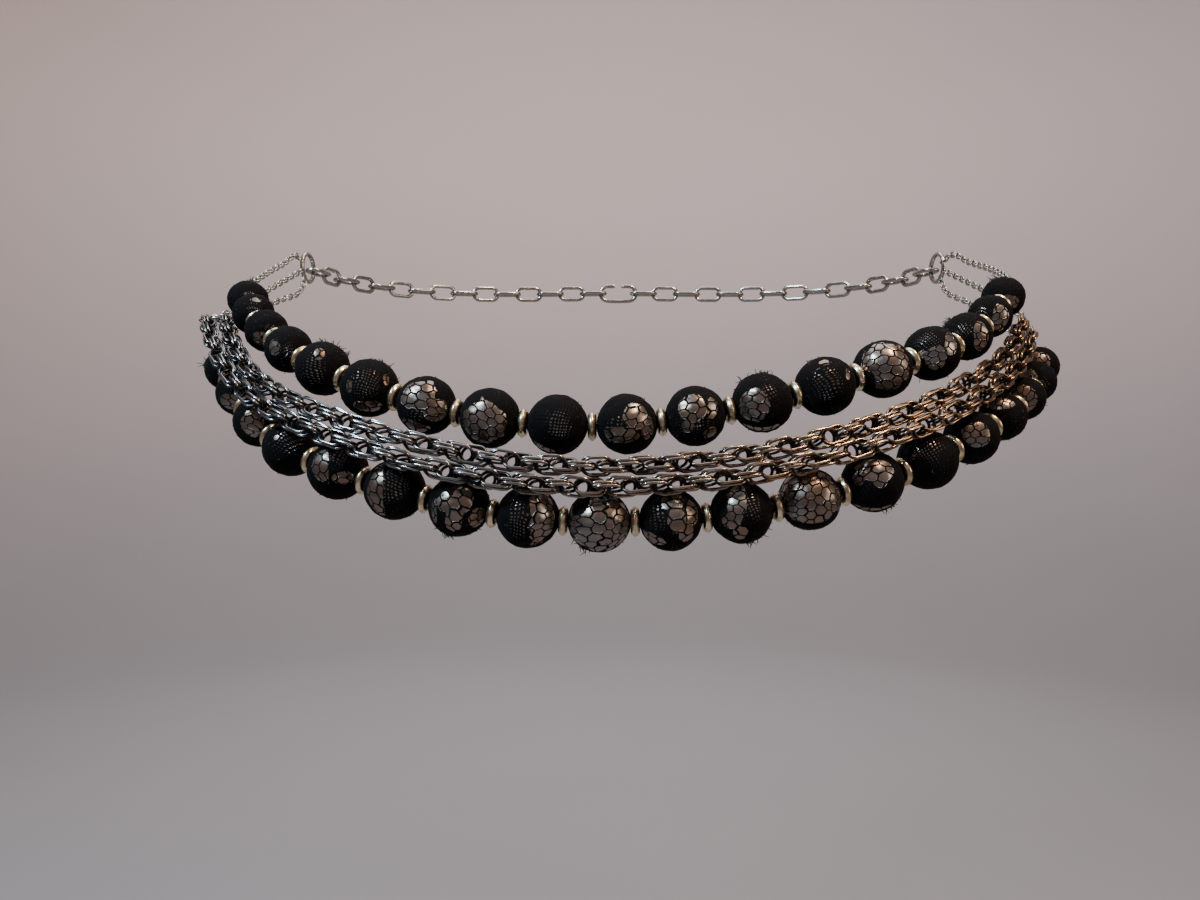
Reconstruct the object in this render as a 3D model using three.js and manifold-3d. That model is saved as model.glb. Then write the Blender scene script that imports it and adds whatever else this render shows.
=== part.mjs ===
// A chain trimmed hip belt, worn round the waist: two rows of lace covered beads with metal spacer
// rings, two rope chains lying side by side between them, and cable chains that close it behind.
// Millimetres, +Z up, +Y to the back. The origin is the centre of the waist hollow, level with the
// rope chains in front.

import * as THREE from 'three';
import { mergeVertices } from 'three/addons/utils/BufferGeometryUtils.js';
import Module from 'manifold-3d';

const wasm = await Module();
wasm.setup();

// The waist: half its width, its depth before and behind the origin, and how square its corners are
const WAIST_HALF_WIDTH = 119;
const WAIST_FRONT_DEPTH = 105;
const WAIST_BACK_DEPTH = 98;
const WAIST_SQUARENESS = 2.53;

// The lower row hangs further out than the upper row, because the hip widens downwards
const LOWER_ROW_OUTSET = 7;

// How the belt drapes. A row of the table is a place round the waist, in degrees from the front,
// with the height of both bead rows there, where the pair of rope chains lies between them, from 0
// at the upper row to 1 at the lower, how far it stands out from their plane, and how far the pair
// has turned over on its way, in degrees
const DRAPE = [
  { at: -75, upper: 59.0, lower: 42.0, between: 0.66, standOut: 2.6, turn: 50 },
  { at: -60, upper: 43.9, lower: 30.0, between: 0.58, standOut: 4.7, turn: 52 },
  { at: -45, upper: 28.6, lower: 8.7, between: 0.6, standOut: 7.1, turn: 12 },
  { at: -30, upper: 17.5, lower: -2.8, between: 0.62, standOut: 7.9, turn: 0 },
  { at: -15, upper: 11.4, lower: -9.6, between: 0.64, standOut: 8.0, turn: 0 },
  { at: 0, upper: 10.9, lower: -11.0, between: 0.63, standOut: 7.5, turn: 2 },
  { at: 15, upper: 15.5, lower: -8.2, between: 0.62, standOut: 6.6, turn: 6 },
  { at: 30, upper: 23.6, lower: -0.5, between: 0.6, standOut: 6.1, turn: 8 },
  { at: 45, upper: 33.2, lower: 11.9, between: 0.52, standOut: 3.8, turn: 2 },
  { at: 60, upper: 50.6, lower: 25.8, between: 0.5, standOut: 0.6, turn: 10 },
  { at: 75, upper: 64.0, lower: 39.5, between: 0.5, standOut: 0.3, turn: 30 },
];
const DRAPE_STEP = 15;

// Degrees to each side of a place between which the directions there are measured
const SLOPE_STEP = 0.5;

// Beads: a plain bead in front, a smaller one at the row's ends. The size changes over a few beads
// about the two places that the row names, counted in beads
const BEAD_WIDTH = 14.3;
const END_BEAD_WIDTH = 11.5;
const SIZE_CHANGE_BEADS = 3;
const BEAD_SPACE = 1.75;
const BEAD_HOLE_RADIUS = 0.95;
const BEAD_SIDES = 10;
const BEAD_BANDS = 5;
const ROW_REACH = 75;
const ROW_WALK_STEPS = 300;
const ROWS = {
  upper: { count: 18, start: -137, grows: 3.4, shrinks: 14.7, outset: 0, height: 'upper' },
  lower: { count: 19, start: -131, grows: 2.1, shrinks: 14.2, outset: LOWER_ROW_OUTSET, height: 'lower' },
};

// Thread and spacer rings
const THREAD_RADIUS = 0.55;
const THREAD_SIDES = 5;
const SPACER_RADIUS = 3.1;
const SPACER_THICKNESS = 1.24;
const SPACER_SIDES = 10;
const LOOP_RADIUS = 1.9;
const LOOP_WIRE_RADIUS = 0.5;

// Rope chains
const ROPE_RADIUS = 2.25;
const ROPE_SPACING = 4.8;
const ROPE_SIDES = 8;
const ROPE_STEPS = 52;
const ROPE_FROM = -66;
const ROPE_TO = 61;
const ROPE_RING_RADIUS = 2.3;
const ROPE_RING_WIRE_RADIUS = 0.6;
const ROPE_END_SLANT = 0.4;

// Cable chains: thin ones from the ends of the strands to a gather ring at each side. They meet it
// GATHER_SPREAD degrees apart, the middle one GATHER_TILT degrees above level
const TAIL_RADIUS = 1.3;
const TAIL_SIDES = 8;
const TAIL_STEPS = 9;
const TAIL_POINTS = 4;
const TAIL_APPROACH = 3;
const SEAT = 0.3;
const GATHER_AT = 99;
const GATHER_HEIGHT = 72;
const GATHER_OUTSET = -2.5;
const GATHER_RING_RADIUS = 5;
const GATHER_WIRE_RADIUS = 0.8;
const GATHER_SPREAD = 37;
const GATHER_TILT = -22;

// The closing chain: oval links that run round the back, and a hook between the two halves
const LINK_END_RADIUS = 2.7;
const LINK_STRAIGHT = 5.46;
const LINK_WIRE_RADIUS = 0.8;
const LINK_SIDES = 10;
const LINK_WIRE_SIDES = 5;
const LINK_BITE = 0.14;
const LINKS_EACH_SIDE = 15;
const BACK = 180;
const CLOSING_HEIGHT = 76;
const HOOK_HALF_WIDTH = 3.3;
const HOOK_WIRE_RADIUS = 0.9;
const HOOK_GAP = 2.6;
const HOOK_SIDES = 6;
const HOOK_STEPS = 24;
const HOOK_BEND_POINTS = 6;
const BISECTIONS = 40;
const MERGE_DISTANCE = 1e-4;

const LINK_HALF_LENGTH = LINK_END_RADIUS + LINK_STRAIGHT / 2;

const radians = THREE.MathUtils.degToRad;
const UP = new THREE.Vector3(0, 0, 1);
const ALONG = new THREE.Vector3(0, 1, 0);

const finish = (color, roughness, metalness) => () => (
  new THREE.MeshStandardMaterial({ color, roughness, metalness })
);
const lace = finish(0x1c1a1b, 0.7, 0.1);
const paleMetal = finish(0xcfc0a4, 0.3, 1);
const darkMetal = finish(0x77706a, 0.35, 1);

const belt = new THREE.Group();
belt.name = 'chain_trimmed_belt';

// Places round the waist

// A level point at an angle from the front, as far outside the bead path as outset says
function waistPoint(angle, outset, height) {
  const turn = radians(angle);
  const halfWidth = WAIST_HALF_WIDTH + outset;
  const depth = (Math.cos(turn) > 0 ? WAIST_FRONT_DEPTH : WAIST_BACK_DEPTH) + outset;
  const across = Math.abs(Math.sin(turn) / halfWidth) ** WAIST_SQUARENESS;
  const along = Math.abs(Math.cos(turn) / depth) ** WAIST_SQUARENESS;
  const reach = (across + along) ** (-1 / WAIST_SQUARENESS);
  return new THREE.Vector3(reach * Math.sin(turn), -reach * Math.cos(turn), height);
}

// The level direction straight out of the waist
function outward(angle) {
  const before = waistPoint(angle - SLOPE_STEP, 0, 0);
  const after = waistPoint(angle + SLOPE_STEP, 0, 0);
  return after.sub(before).cross(UP).normalize();
}

// A column of the drape table at any angle, on a smooth curve through its rows
function drape(column, angle) {
  const last = DRAPE.length - 1;
  const place = THREE.MathUtils.clamp((angle - DRAPE[0].at) / DRAPE_STEP, 0, last);
  const row = Math.min(Math.floor(place), last - 1);
  const value = (index) => {
    if (index < 0) return 2 * DRAPE[0][column] - DRAPE[1][column];
    if (index > last) return 2 * DRAPE[last][column] - DRAPE[last - 1][column];
    return DRAPE[index][column];
  };
  const [a, b, c, d] = [row - 1, row, row + 1, row + 2].map(value);
  const t = place - row;
  const bend = 2 * a - 5 * b + 4 * c - d;
  const twist = 3 * b - a - 3 * c + d;
  return b + ((c - a) * t + bend * t ** 2 + twist * t ** 3) / 2;
}

const smooth = (x) => THREE.MathUtils.smoothstep(x, 0, 1);

const rowPoint = (row, angle) => waistPoint(angle, row.outset, drape(row.height, angle));

// A smooth curve through points at even angles
function curveThrough(pointAt, from, to, steps) {
  const points = Array.from({ length: steps + 1 }, (_, i) => pointAt(from + ((to - from) * i) / steps));
  return new THREE.CatmullRomCurve3(points);
}

// Solids

function solidOf(geometry) {
  const bare = geometry.index ? geometry.clone() : mergeVertices(geometry);
  bare.deleteAttribute('normal');
  bare.deleteAttribute('uv');
  const merged = mergeVertices(bare, MERGE_DISTANCE);
  return new wasm.Manifold(new wasm.Mesh({
    numProp: 3,
    vertProperties: new Float32Array(merged.attributes.position.array),
    triVerts: new Uint32Array(merged.index.array),
  }));
}

function geometryOf(solid) {
  const mesh = solid.getMesh();
  const geometry = new THREE.BufferGeometry();
  geometry.setAttribute('position', new THREE.BufferAttribute(mesh.vertProperties, 3));
  geometry.setIndex(new THREE.BufferAttribute(mesh.triVerts, 1));
  return geometry;
}

const fuse = (geometries) => geometryOf(geometries.map(solidOf).reduce((whole, piece) => whole.add(piece)));

function addMesh(name, geometry, material) {
  const mesh = new THREE.Mesh(geometry, material());
  mesh.name = name;
  belt.add(mesh);
  return mesh;
}

// A round tube along a curve, closed at both ends
function tube(curve, radius, sides, steps) {
  const section = new THREE.Shape();
  for (let i = 0; i < sides; i += 1) {
    const turn = (2 * Math.PI * i) / sides;
    section[i ? 'lineTo' : 'moveTo'](radius * Math.cos(turn), radius * Math.sin(turn));
  }
  section.closePath();
  return new THREE.ExtrudeGeometry(section, { steps, bevelEnabled: false, extrudePath: curve });
}

const straightTube = (from, to, radius, sides) => tube(new THREE.LineCurve3(from, to), radius, sides, 1);

// A wire ring standing on a basis: its plane holds the first two directions
function ring(centre, first, second, radius, wireRadius, straight = 0) {
  const geometry = new THREE.TorusGeometry(radius, wireRadius, LINK_WIRE_SIDES, LINK_SIDES);
  const positions = geometry.attributes.position;
  for (let i = 0; i < positions.count; i += 1) {
    positions.setX(i, positions.getX(i) + (Math.sign(positions.getX(i)) * straight) / 2);
  }
  const third = new THREE.Vector3().crossVectors(first, second);
  geometry.applyMatrix4(new THREE.Matrix4().makeBasis(first, second, third).setPosition(centre));
  return geometry;
}

// Bead rows

function beadWidth(row, index) {
  const rising = smooth((index - row.grows) / SIZE_CHANGE_BEADS + 0.5);
  const falling = smooth((row.shrinks - index) / SIZE_CHANGE_BEADS + 0.5);
  return END_BEAD_WIDTH + (BEAD_WIDTH - END_BEAD_WIDTH) * rising * falling;
}

// Finds the angle of a place on a row by its distance from the front, measured along the row
function angleFinder(row) {
  const table = [];
  let run = 0;
  let last = rowPoint(row, -ROW_REACH);
  for (let angle = -ROW_REACH; angle <= ROW_REACH; angle += ROW_REACH / ROW_WALK_STEPS) {
    const point = rowPoint(row, angle);
    run += point.distanceTo(last);
    last = point;
    table.push({ angle, run });
  }
  const front = table[ROW_WALK_STEPS].run;
  return (distance) => {
    const next = table.findIndex((entry) => entry.run - front >= distance);
    const [before, after] = [table[next - 1], table[next]];
    const share = (distance + front - before.run) / (after.run - before.run);
    return THREE.MathUtils.lerp(before.angle, after.angle, share);
  };
}

// The points where the thread bends, halfway through each spacer. Beads lie straight between them
function threadBends(row) {
  const angleAt = angleFinder(row);
  let distance = row.start - (beadWidth(row, 0) + BEAD_SPACE) / 2;
  const bends = [];
  for (let i = 0; i <= row.count; i += 1) {
    bends.push(rowPoint(row, angleAt(distance)));
    distance += beadWidth(row, i) + BEAD_SPACE;
  }
  return bends;
}

// A ball with a straight hole along Y
function beadGeometry(width) {
  const radius = width / 2;
  const holeAngle = Math.asin(BEAD_HOLE_RADIUS / radius);
  const profile = [];
  for (let i = 0; i <= BEAD_BANDS; i += 1) {
    const turn = holeAngle + ((Math.PI - 2 * holeAngle) * i) / BEAD_BANDS;
    profile.push(new THREE.Vector2(radius * Math.sin(turn), -radius * Math.cos(turn)));
  }
  profile.push(profile[0].clone());
  return new THREE.LatheGeometry(profile, BEAD_SIDES);
}

// Adds a row's beads and its string, and returns the places just past the loops at its two ends
function addRow(name, row) {
  const bends = threadBends(row);
  const pieces = [];
  for (let i = 0; i < row.count; i += 1) {
    const number = String(i + 1).padStart(2, '0');
    const bead = addMesh(`${name}_bead_${number}`, beadGeometry(beadWidth(row, i)), lace);
    bead.position.lerpVectors(bends[i], bends[i + 1], 0.5);
    bead.quaternion.setFromUnitVectors(ALONG, bends[i + 1].clone().sub(bends[i]).normalize());
    pieces.push(straightTube(bends[i], bends[i + 1], THREAD_RADIUS, THREAD_SIDES));
  }
  for (let i = 0; i <= row.count; i += 1) {
    const before = bends[Math.max(i - 1, 0)];
    const after = bends[Math.min(i + 1, row.count)];
    const half = after.clone().sub(before).setLength(SPACER_THICKNESS / 2);
    const [from, to] = [bends[i].clone().sub(half), bends[i].clone().add(half)];
    pieces.push(straightTube(from, to, SPACER_RADIUS, SPACER_SIDES));
  }
  const ends = [[0, 1], [row.count, row.count - 1]].map(([last, inner]) => {
    const away = bends[last].clone().sub(bends[inner]).normalize();
    const upright = new THREE.Vector3().crossVectors(away, UP).cross(away).normalize();
    const centre = bends[last].clone().addScaledVector(away, SPACER_THICKNESS / 2 + LOOP_RADIUS);
    pieces.push(ring(centre, away, upright, LOOP_RADIUS, LOOP_WIRE_RADIUS));
    return centre.clone().addScaledVector(away, LOOP_RADIUS + LOOP_WIRE_RADIUS + SEAT);
  });
  addMesh(`${name}_string`, fuse(pieces), paleMetal);
  return ends;
}

// Rope chains

// The axis of one rope chain at an angle: side is -1 for the upper one and 1 for the lower one
function ropePoint(side, angle) {
  const upper = rowPoint(ROWS.upper, angle);
  const lower = rowPoint(ROWS.lower, angle);
  const down = lower.clone().sub(upper).normalize();
  const out = outward(angle);
  out.addScaledVector(down, -out.dot(down)).normalize();
  const turn = radians(drape('turn', angle));
  const middle = upper.lerp(lower, drape('between', angle));
  middle.addScaledVector(out, drape('standOut', angle));
  middle.addScaledVector(down, (side * ROPE_SPACING * Math.cos(turn)) / 2);
  return middle.addScaledVector(out, (side * ROPE_SPACING * Math.sin(turn)) / 2);
}

function addRope(name, side) {
  const curve = curveThrough((angle) => ropePoint(side, angle), ROPE_FROM, ROPE_TO, ROPE_STEPS / 2);
  addMesh(name, tube(curve, ROPE_RADIUS, ROPE_SIDES, ROPE_STEPS), darkMetal);
}

// Ends of the strands, from the gather rings to the hook

// The middle of the closing chain at an angle. It rises evenly from the gather ring to the back
function closingPoint(angle) {
  const share = (Math.abs(angle) - GATHER_AT) / (BACK - GATHER_AT);
  const height = THREE.MathUtils.lerp(GATHER_HEIGHT, CLOSING_HEIGHT, smooth(share));
  return waistPoint(angle, GATHER_OUTSET, height);
}

// A gather ring's centre and the level direction back along the waist there
function gatherFrame(side) {
  const centre = closingPoint(side * GATHER_AT);
  const before = closingPoint(side * (GATHER_AT - SLOPE_STEP));
  const back = closingPoint(side * (GATHER_AT + SLOPE_STEP)).sub(before);
  back.z = 0;
  back.normalize();
  return { centre, back };
}

// The last two places of a tail that comes straight at a gather ring, at an angle above the way
// that the strands come from
function gatherSeat({ centre, back }, above) {
  const seat = GATHER_RING_RADIUS + GATHER_WIRE_RADIUS + SEAT;
  const turn = radians(above);
  return [seat + TAIL_APPROACH, seat].map((reach) => centre.clone()
    .addScaledVector(back, -reach * Math.cos(turn))
    .addScaledVector(UP, reach * Math.sin(turn)));
}

const angleOf = (point) => THREE.MathUtils.radToDeg(Math.atan2(point.x, -point.y));

// One thin chain from the end of a strand to the gather ring. Its height and its distance from
// the waist change evenly
function addTail(name, start, startOutset, [approach, end]) {
  const points = [start];
  for (let i = 1; i < TAIL_POINTS; i += 1) {
    const share = i / TAIL_POINTS;
    const angle = THREE.MathUtils.lerp(angleOf(start), angleOf(approach), share);
    const outset = THREE.MathUtils.lerp(startOutset, GATHER_OUTSET, share);
    points.push(waistPoint(angle, outset, THREE.MathUtils.lerp(start.z, approach.z, share)));
  }
  points.push(approach, end);
  addMesh(name, tube(new THREE.CatmullRomCurve3(points), TAIL_RADIUS, TAIL_SIDES, TAIL_STEPS), paleMetal);
}

// The jump ring that holds both rope chains' ends. Returns the place where its tail starts
function addRopeRing(name, angle, side) {
  const [upper, lower] = [-1, 1].map((strand) => ropePoint(strand, angle));
  const inner = [-1, 1].map((strand) => ropePoint(strand, angle - side * SLOPE_STEP));
  const middle = upper.clone().lerp(lower, 0.5);
  const away = middle.clone().sub(inner[0].lerp(inner[1], 0.5)).normalize();
  const down = lower.sub(upper);
  down.addScaledVector(away, -down.dot(away)).normalize();
  const reach = ROPE_RING_RADIUS + ROPE_RING_WIRE_RADIUS + SEAT;
  const centre = middle.addScaledVector(away, reach + ROPE_END_SLANT);
  addMesh(name, ring(centre, away, down, ROPE_RING_RADIUS, ROPE_RING_WIRE_RADIUS), paleMetal);
  return centre.clone().addScaledVector(away, reach);
}

// The place on the closing chain's line that lies a straight distance past another place on it
function closingStep(from, side, distance) {
  let [near, far] = [Math.abs(angleOf(from)), BACK];
  for (let i = 0; i < BISECTIONS; i += 1) {
    const middle = (near + far) / 2;
    if (closingPoint(side * middle).distanceTo(from) < distance) near = middle;
    else far = middle;
  }
  return closingPoint(side * near);
}

// The half of the closing chain on one side. Each link stands across the one before it, and the
// first holds the gather ring. Returns the middle of its last link
function addClosingChain(name, side, { centre }) {
  const contact = 2 * LINK_WIRE_RADIUS * Math.cos(Math.PI / LINK_WIRE_SIDES) - LINK_BITE;
  const hold = GATHER_RING_RADIUS - GATHER_WIRE_RADIUS - LINK_WIRE_RADIUS - SEAT;
  const links = [];
  let middle = closingStep(centre, side, hold + LINK_HALF_LENGTH);
  let before = centre;
  for (let i = 0; i < LINKS_EACH_SIDE; i += 1) {
    const next = closingStep(middle, side, 2 * LINK_HALF_LENGTH - contact);
    const along = next.clone().sub(before).normalize();
    const level = new THREE.Vector3().crossVectors(along, UP).normalize();
    const across = i % 2 ? level.cross(along) : level;
    links.push(ring(middle, along, across, LINK_END_RADIUS, LINK_WIRE_RADIUS, LINK_STRAIGHT));
    [before, middle] = [middle, next];
  }
  addMesh(name, fuse(links), paleMetal);
  return before;
}

// The hook: an open wire oval, whose ends hold the last links of both halves
function addHook(name, lastLinks) {
  const hold = LINK_HALF_LENGTH - LINK_WIRE_RADIUS - HOOK_WIRE_RADIUS - SEAT;
  const halfLength = lastLinks[0].distanceTo(lastLinks[1]) / 2 - hold;
  const centre = lastLinks[0].clone().lerp(lastLinks[1], 0.5);
  const straight = halfLength - HOOK_HALF_WIDTH;
  const points = [new THREE.Vector3(HOOK_GAP / 2, 0, HOOK_HALF_WIDTH)];
  for (const side of [1, -1]) {
    for (let i = 0; i <= HOOK_BEND_POINTS; i += 1) {
      const turn = (Math.PI * i) / HOOK_BEND_POINTS;
      const x = side * (straight + HOOK_HALF_WIDTH * Math.sin(turn));
      points.push(new THREE.Vector3(x, 0, side * HOOK_HALF_WIDTH * Math.cos(turn)));
    }
  }
  points.push(new THREE.Vector3(-HOOK_GAP / 2, 0, HOOK_HALF_WIDTH));
  const path = new THREE.CatmullRomCurve3(points.map((point) => point.add(centre)));
  addMesh(name, tube(path, HOOK_WIRE_RADIUS, HOOK_SIDES, HOOK_STEPS), paleMetal);
}

const upperEnds = addRow('upper', ROWS.upper);
const lowerEnds = addRow('lower', ROWS.lower);
addRope('upper_rope_chain', -1);
addRope('lower_rope_chain', 1);

const SIDES = [
  { name: 'left', side: -1, end: 0, ropeEnd: ROPE_FROM },
  { name: 'right', side: 1, end: 1, ropeEnd: ROPE_TO },
];
const lastLinks = SIDES.map(({ name, side, end, ropeEnd }) => {
  const gather = gatherFrame(side);
  const ropeStart = addRopeRing(`${name}_rope_ring`, ropeEnd, side);
  const seats = [1, 0, -1].map((step) => gatherSeat(gather, GATHER_TILT + step * GATHER_SPREAD));
  addTail(`${name}_upper_tail`, upperEnds[end], ROWS.upper.outset, seats[0]);
  addTail(`${name}_rope_tail`, ropeStart, LOWER_ROW_OUTSET / 2, seats[1]);
  addTail(`${name}_lower_tail`, lowerEnds[end], LOWER_ROW_OUTSET, seats[2]);
  const gatherRing = ring(gather.centre, gather.back, UP, GATHER_RING_RADIUS, GATHER_WIRE_RADIUS);
  addMesh(`${name}_gather_ring`, gatherRing, paleMetal);
  return addClosingChain(`${name}_closing_chain`, side, gather);
});
addHook('closing_hook', lastLinks);

export default belt;
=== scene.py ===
"""A chain trimmed hip belt, worn round the waist.

Two rows of lace covered beads with metal spacer rings, two rope chains between them, and cable
chains that close it behind. Shapes are worked out in millimetres and put into meshes in metres,
+Z up and +Y to the wearer's back, with the origin in the middle of the waist.
"""

import math

import bpy
import numpy as np
from bpy.props import FloatProperty, FloatVectorProperty, PointerProperty
from bpy.types import Operator, Panel, PropertyGroup
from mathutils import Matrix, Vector


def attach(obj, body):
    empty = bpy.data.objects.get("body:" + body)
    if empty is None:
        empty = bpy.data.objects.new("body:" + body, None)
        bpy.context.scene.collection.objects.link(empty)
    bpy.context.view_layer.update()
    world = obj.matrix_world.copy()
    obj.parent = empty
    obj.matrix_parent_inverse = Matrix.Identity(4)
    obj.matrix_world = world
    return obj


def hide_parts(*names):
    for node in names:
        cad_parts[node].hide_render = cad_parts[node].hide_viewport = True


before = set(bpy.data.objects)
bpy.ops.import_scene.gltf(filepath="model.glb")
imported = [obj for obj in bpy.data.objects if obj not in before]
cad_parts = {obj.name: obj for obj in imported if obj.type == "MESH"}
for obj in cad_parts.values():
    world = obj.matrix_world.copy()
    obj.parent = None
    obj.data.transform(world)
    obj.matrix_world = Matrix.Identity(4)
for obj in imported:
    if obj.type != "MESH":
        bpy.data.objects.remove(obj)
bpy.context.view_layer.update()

bl_info = {
    "name": "Chain Trimmed Belt",
    "version": (1, 0, 0),
    "blender": (4, 5, 0),
    "location": "3D View > Sidebar > Belt",
    "description": "Builds a belt of lace covered beads, spacer rings and chains",
    "category": "Add Mesh",
}

MM = 0.001
BODY = "root"
UP = np.array([0.0, 0.0, 1.0])
BACKWARD = np.array([0.0, 1.0, 0.0])

# The waist curve that the belt lies on
WAIST_HALF_WIDTH = 119
WAIST_FRONT_DEPTH = 105
WAIST_BACK_DEPTH = 98
WAIST_SQUARENESS = 2.53
LOWER_ROW_OUTSET = 7
SLOPE_STEP = 0.5

# How the belt drapes at even steps round the waist: the height of both rows, where the rope chains
# lie between them, how far they stand out, and how far the pair has turned over
DRAPE_STEP = 15
DRAPE = {
    "at": [-75, -60, -45, -30, -15, 0, 15, 30, 45, 60, 75],
    "upper": [59.0, 43.9, 28.6, 17.5, 11.4, 10.9, 15.5, 23.6, 33.2, 50.6, 64.0],
    "lower": [42.0, 30.0, 8.7, -2.8, -9.6, -11.0, -8.2, -0.5, 11.9, 25.8, 39.5],
    "between": [0.66, 0.58, 0.6, 0.62, 0.64, 0.63, 0.62, 0.6, 0.52, 0.5, 0.5],
    "stand_out": [2.6, 4.7, 7.1, 7.9, 8.0, 7.5, 6.6, 6.1, 3.8, 0.6, 0.3],
    "turn": [50, 52, 12, 0, 0, 2, 6, 8, 2, 10, 30],
}

# Bead rows
END_BEAD_WIDTH = 11.5
SIZE_CHANGE_BEADS = 3
BEAD_SPACE = 1.75
BEAD_HOLE_RADIUS = 0.95
ROW_REACH = 75
ROW_WALK_STEPS = 300
ROWS = {
    "upper": {"count": 18, "start": -137, "grows": 3.4, "shrinks": 14.7, "outset": 0,
              "bead_seed": 7, "thread_seed": 23},
    "lower": {"count": 19, "start": -131, "grows": 2.1, "shrinks": 14.2, "outset": LOWER_ROW_OUTSET,
              "bead_seed": 11, "thread_seed": 29},
}
VIEWPOINT = np.array([-8.3, -313.4, 5.0])

# The shape of a bead: pleats by its hole, the share and rate of coarse and fine lumps, and the wall
# of the hole as shares of the bead's end and of the hole's radius
BEAD_AROUND = 84
BEAD_ALONG = 52
PLEAT_DEPTH = 0.012
PLEAT_FADE = 5
PLEAT_COUNTS = (9, 14)
LUMPS = ((1.4, 2.6), (1.1, 11))
LUMP_WAVES = 9
WALL_INSET = 0.97
WALL_NARROWING = 0.98

# Loose lace threads: their number, their lengths and radii in millimetres, and their roots as a
# share of the bead's radius
HAIRS_ON_BEAD = 70
HAIR_LENGTHS = (0.12, 0.42)
HAIRS_IN_TUFT = 30
TUFT_LENGTHS = (0.2, 0.9)
TUFT_SPREAD = 0.16
HAIR_ROOT = 0.965
HAIR_SWAY = 0.8
HAIR_RADII = (0.13, 0.12, 0.11, 0.09, 0.06)
HAIR_SIDES = 3

# Points round a wire loop, and round its wire
END_LOOP_DETAIL = (32, 10)
ROPE_LINK_DETAIL = (28, 8)
ROPE_END_LINK_DETAIL = (24, 8)
TAIL_LINK_DETAIL = (18, 6)
CLOSING_LINK_DETAIL = (40, 14)
RING_DETAIL = (56, 16)

# Thread, spacer rings and end loops
THREAD_RADIUS = 0.55
THREAD_SIDES = 8
SPACER_THICKNESS = 1.24
SPACER_INNER_RADIUS = THREAD_RADIUS + 0.25
SPACER_SECTION = 20
SPACER_AROUND = 56
SPACER_SQUARENESS = 2.4
RIDGE_HEIGHT = 0.11
RIDGE_SINK = 0.04
RIDGE_SPACING = 0.66
KNURL_DEPTH = 0.03
KNURL_COUNT = 28
KNURL_SLANT = 1.2
LOOP_RADIUS = 1.9
LOOP_WIRE_RADIUS = 0.5

# Rope chains and the jump rings at their ends, by angle round the waist and in millimetres
ROPE_SPACING = 4.8
ROPE_FROM = -66
ROPE_TO = 61
ROPE_RING_RADIUS = 2.3
ROPE_RING_WIRE_RADIUS = 0.6
ROPE_END_SLANT = 0.4
ROPE_SEED = 41
ROPE_LINE_POINTS = 900
ROPE_LINE_SLOPE = 0.5

# The links of a rope chain, in millimetres and degrees: half sizes of the wire and its squareness,
# how far a pair's links lie from their middle, and how much they twist, tilt and slip
ROPE_WIRE = (0.35, 0.31)
ROPE_WIRE_SQUARENESS = 2.8
ROPE_LAYER = 0.4
ROPE_TURN_STEPS = 3
ROPE_TWIST_SPREAD = 10
ROPE_TILT = 2.5
ROPE_SLIP = 0.36
ROPE_SLIP_SPREAD = 0.2
ROPE_OVERRUN = 0.4

# The link at each end of a rope chain, which runs through the jump ring
END_LINK_START = 1.3
END_LINK_HOLD = 0.75
END_LINK_OVERRUN = 0.2
END_LINK_RADIUS = 1.2
END_LINK_WIRE = 0.33
END_LINK_LEAST_STRAIGHT = 0.05

# Cable chains, gather rings, closing chain and hook
SIDES = (("left", -1, ROPE_FROM), ("right", 1, ROPE_TO))
SEAT = 0.3
TAIL_POINTS = 4
TAIL_APPROACH = 3
TAIL_HOLD = 0.75
TAIL_LINE_POINTS = 160
TAIL_LINE_SLOPE = 0.3
TAIL_LINK_WIDTH = 2.5
TAIL_LINK_WIRE = 0.29
TAIL_LINK_BITE = 0.92
GATHER_AT = 99
GATHER_HEIGHT = 72
GATHER_OUTSET = -2.5
GATHER_RING_RADIUS = 5
GATHER_WIRE_RADIUS = 0.8
GATHER_SPREAD = 37
GATHER_TILT = -22
LINK_END_RADIUS = 2.7
LINK_STRAIGHT = 5.46
LINK_WIRE_RADIUS = 0.8
LINK_WIRE_SIDES = 5
LINK_BITE = 0.14
LINKS_EACH_SIDE = 15
LINK_HALF_LENGTH = LINK_END_RADIUS + LINK_STRAIGHT / 2
BACK = 180
CLOSING_HEIGHT = 76
HOOK_HALF_WIDTH = 3.3
HOOK_WIRE_RADIUS = 0.9
HOOK_GAP = 2.6
HOOK_BEND_POINTS = 19
HOOK_POINTS = 110
HOOK_SIDES = 16
HOOK_TIP_POINTS = 3
HOOK_TIP_SLIMMING = 0.85
BISECTIONS = 40

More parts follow.
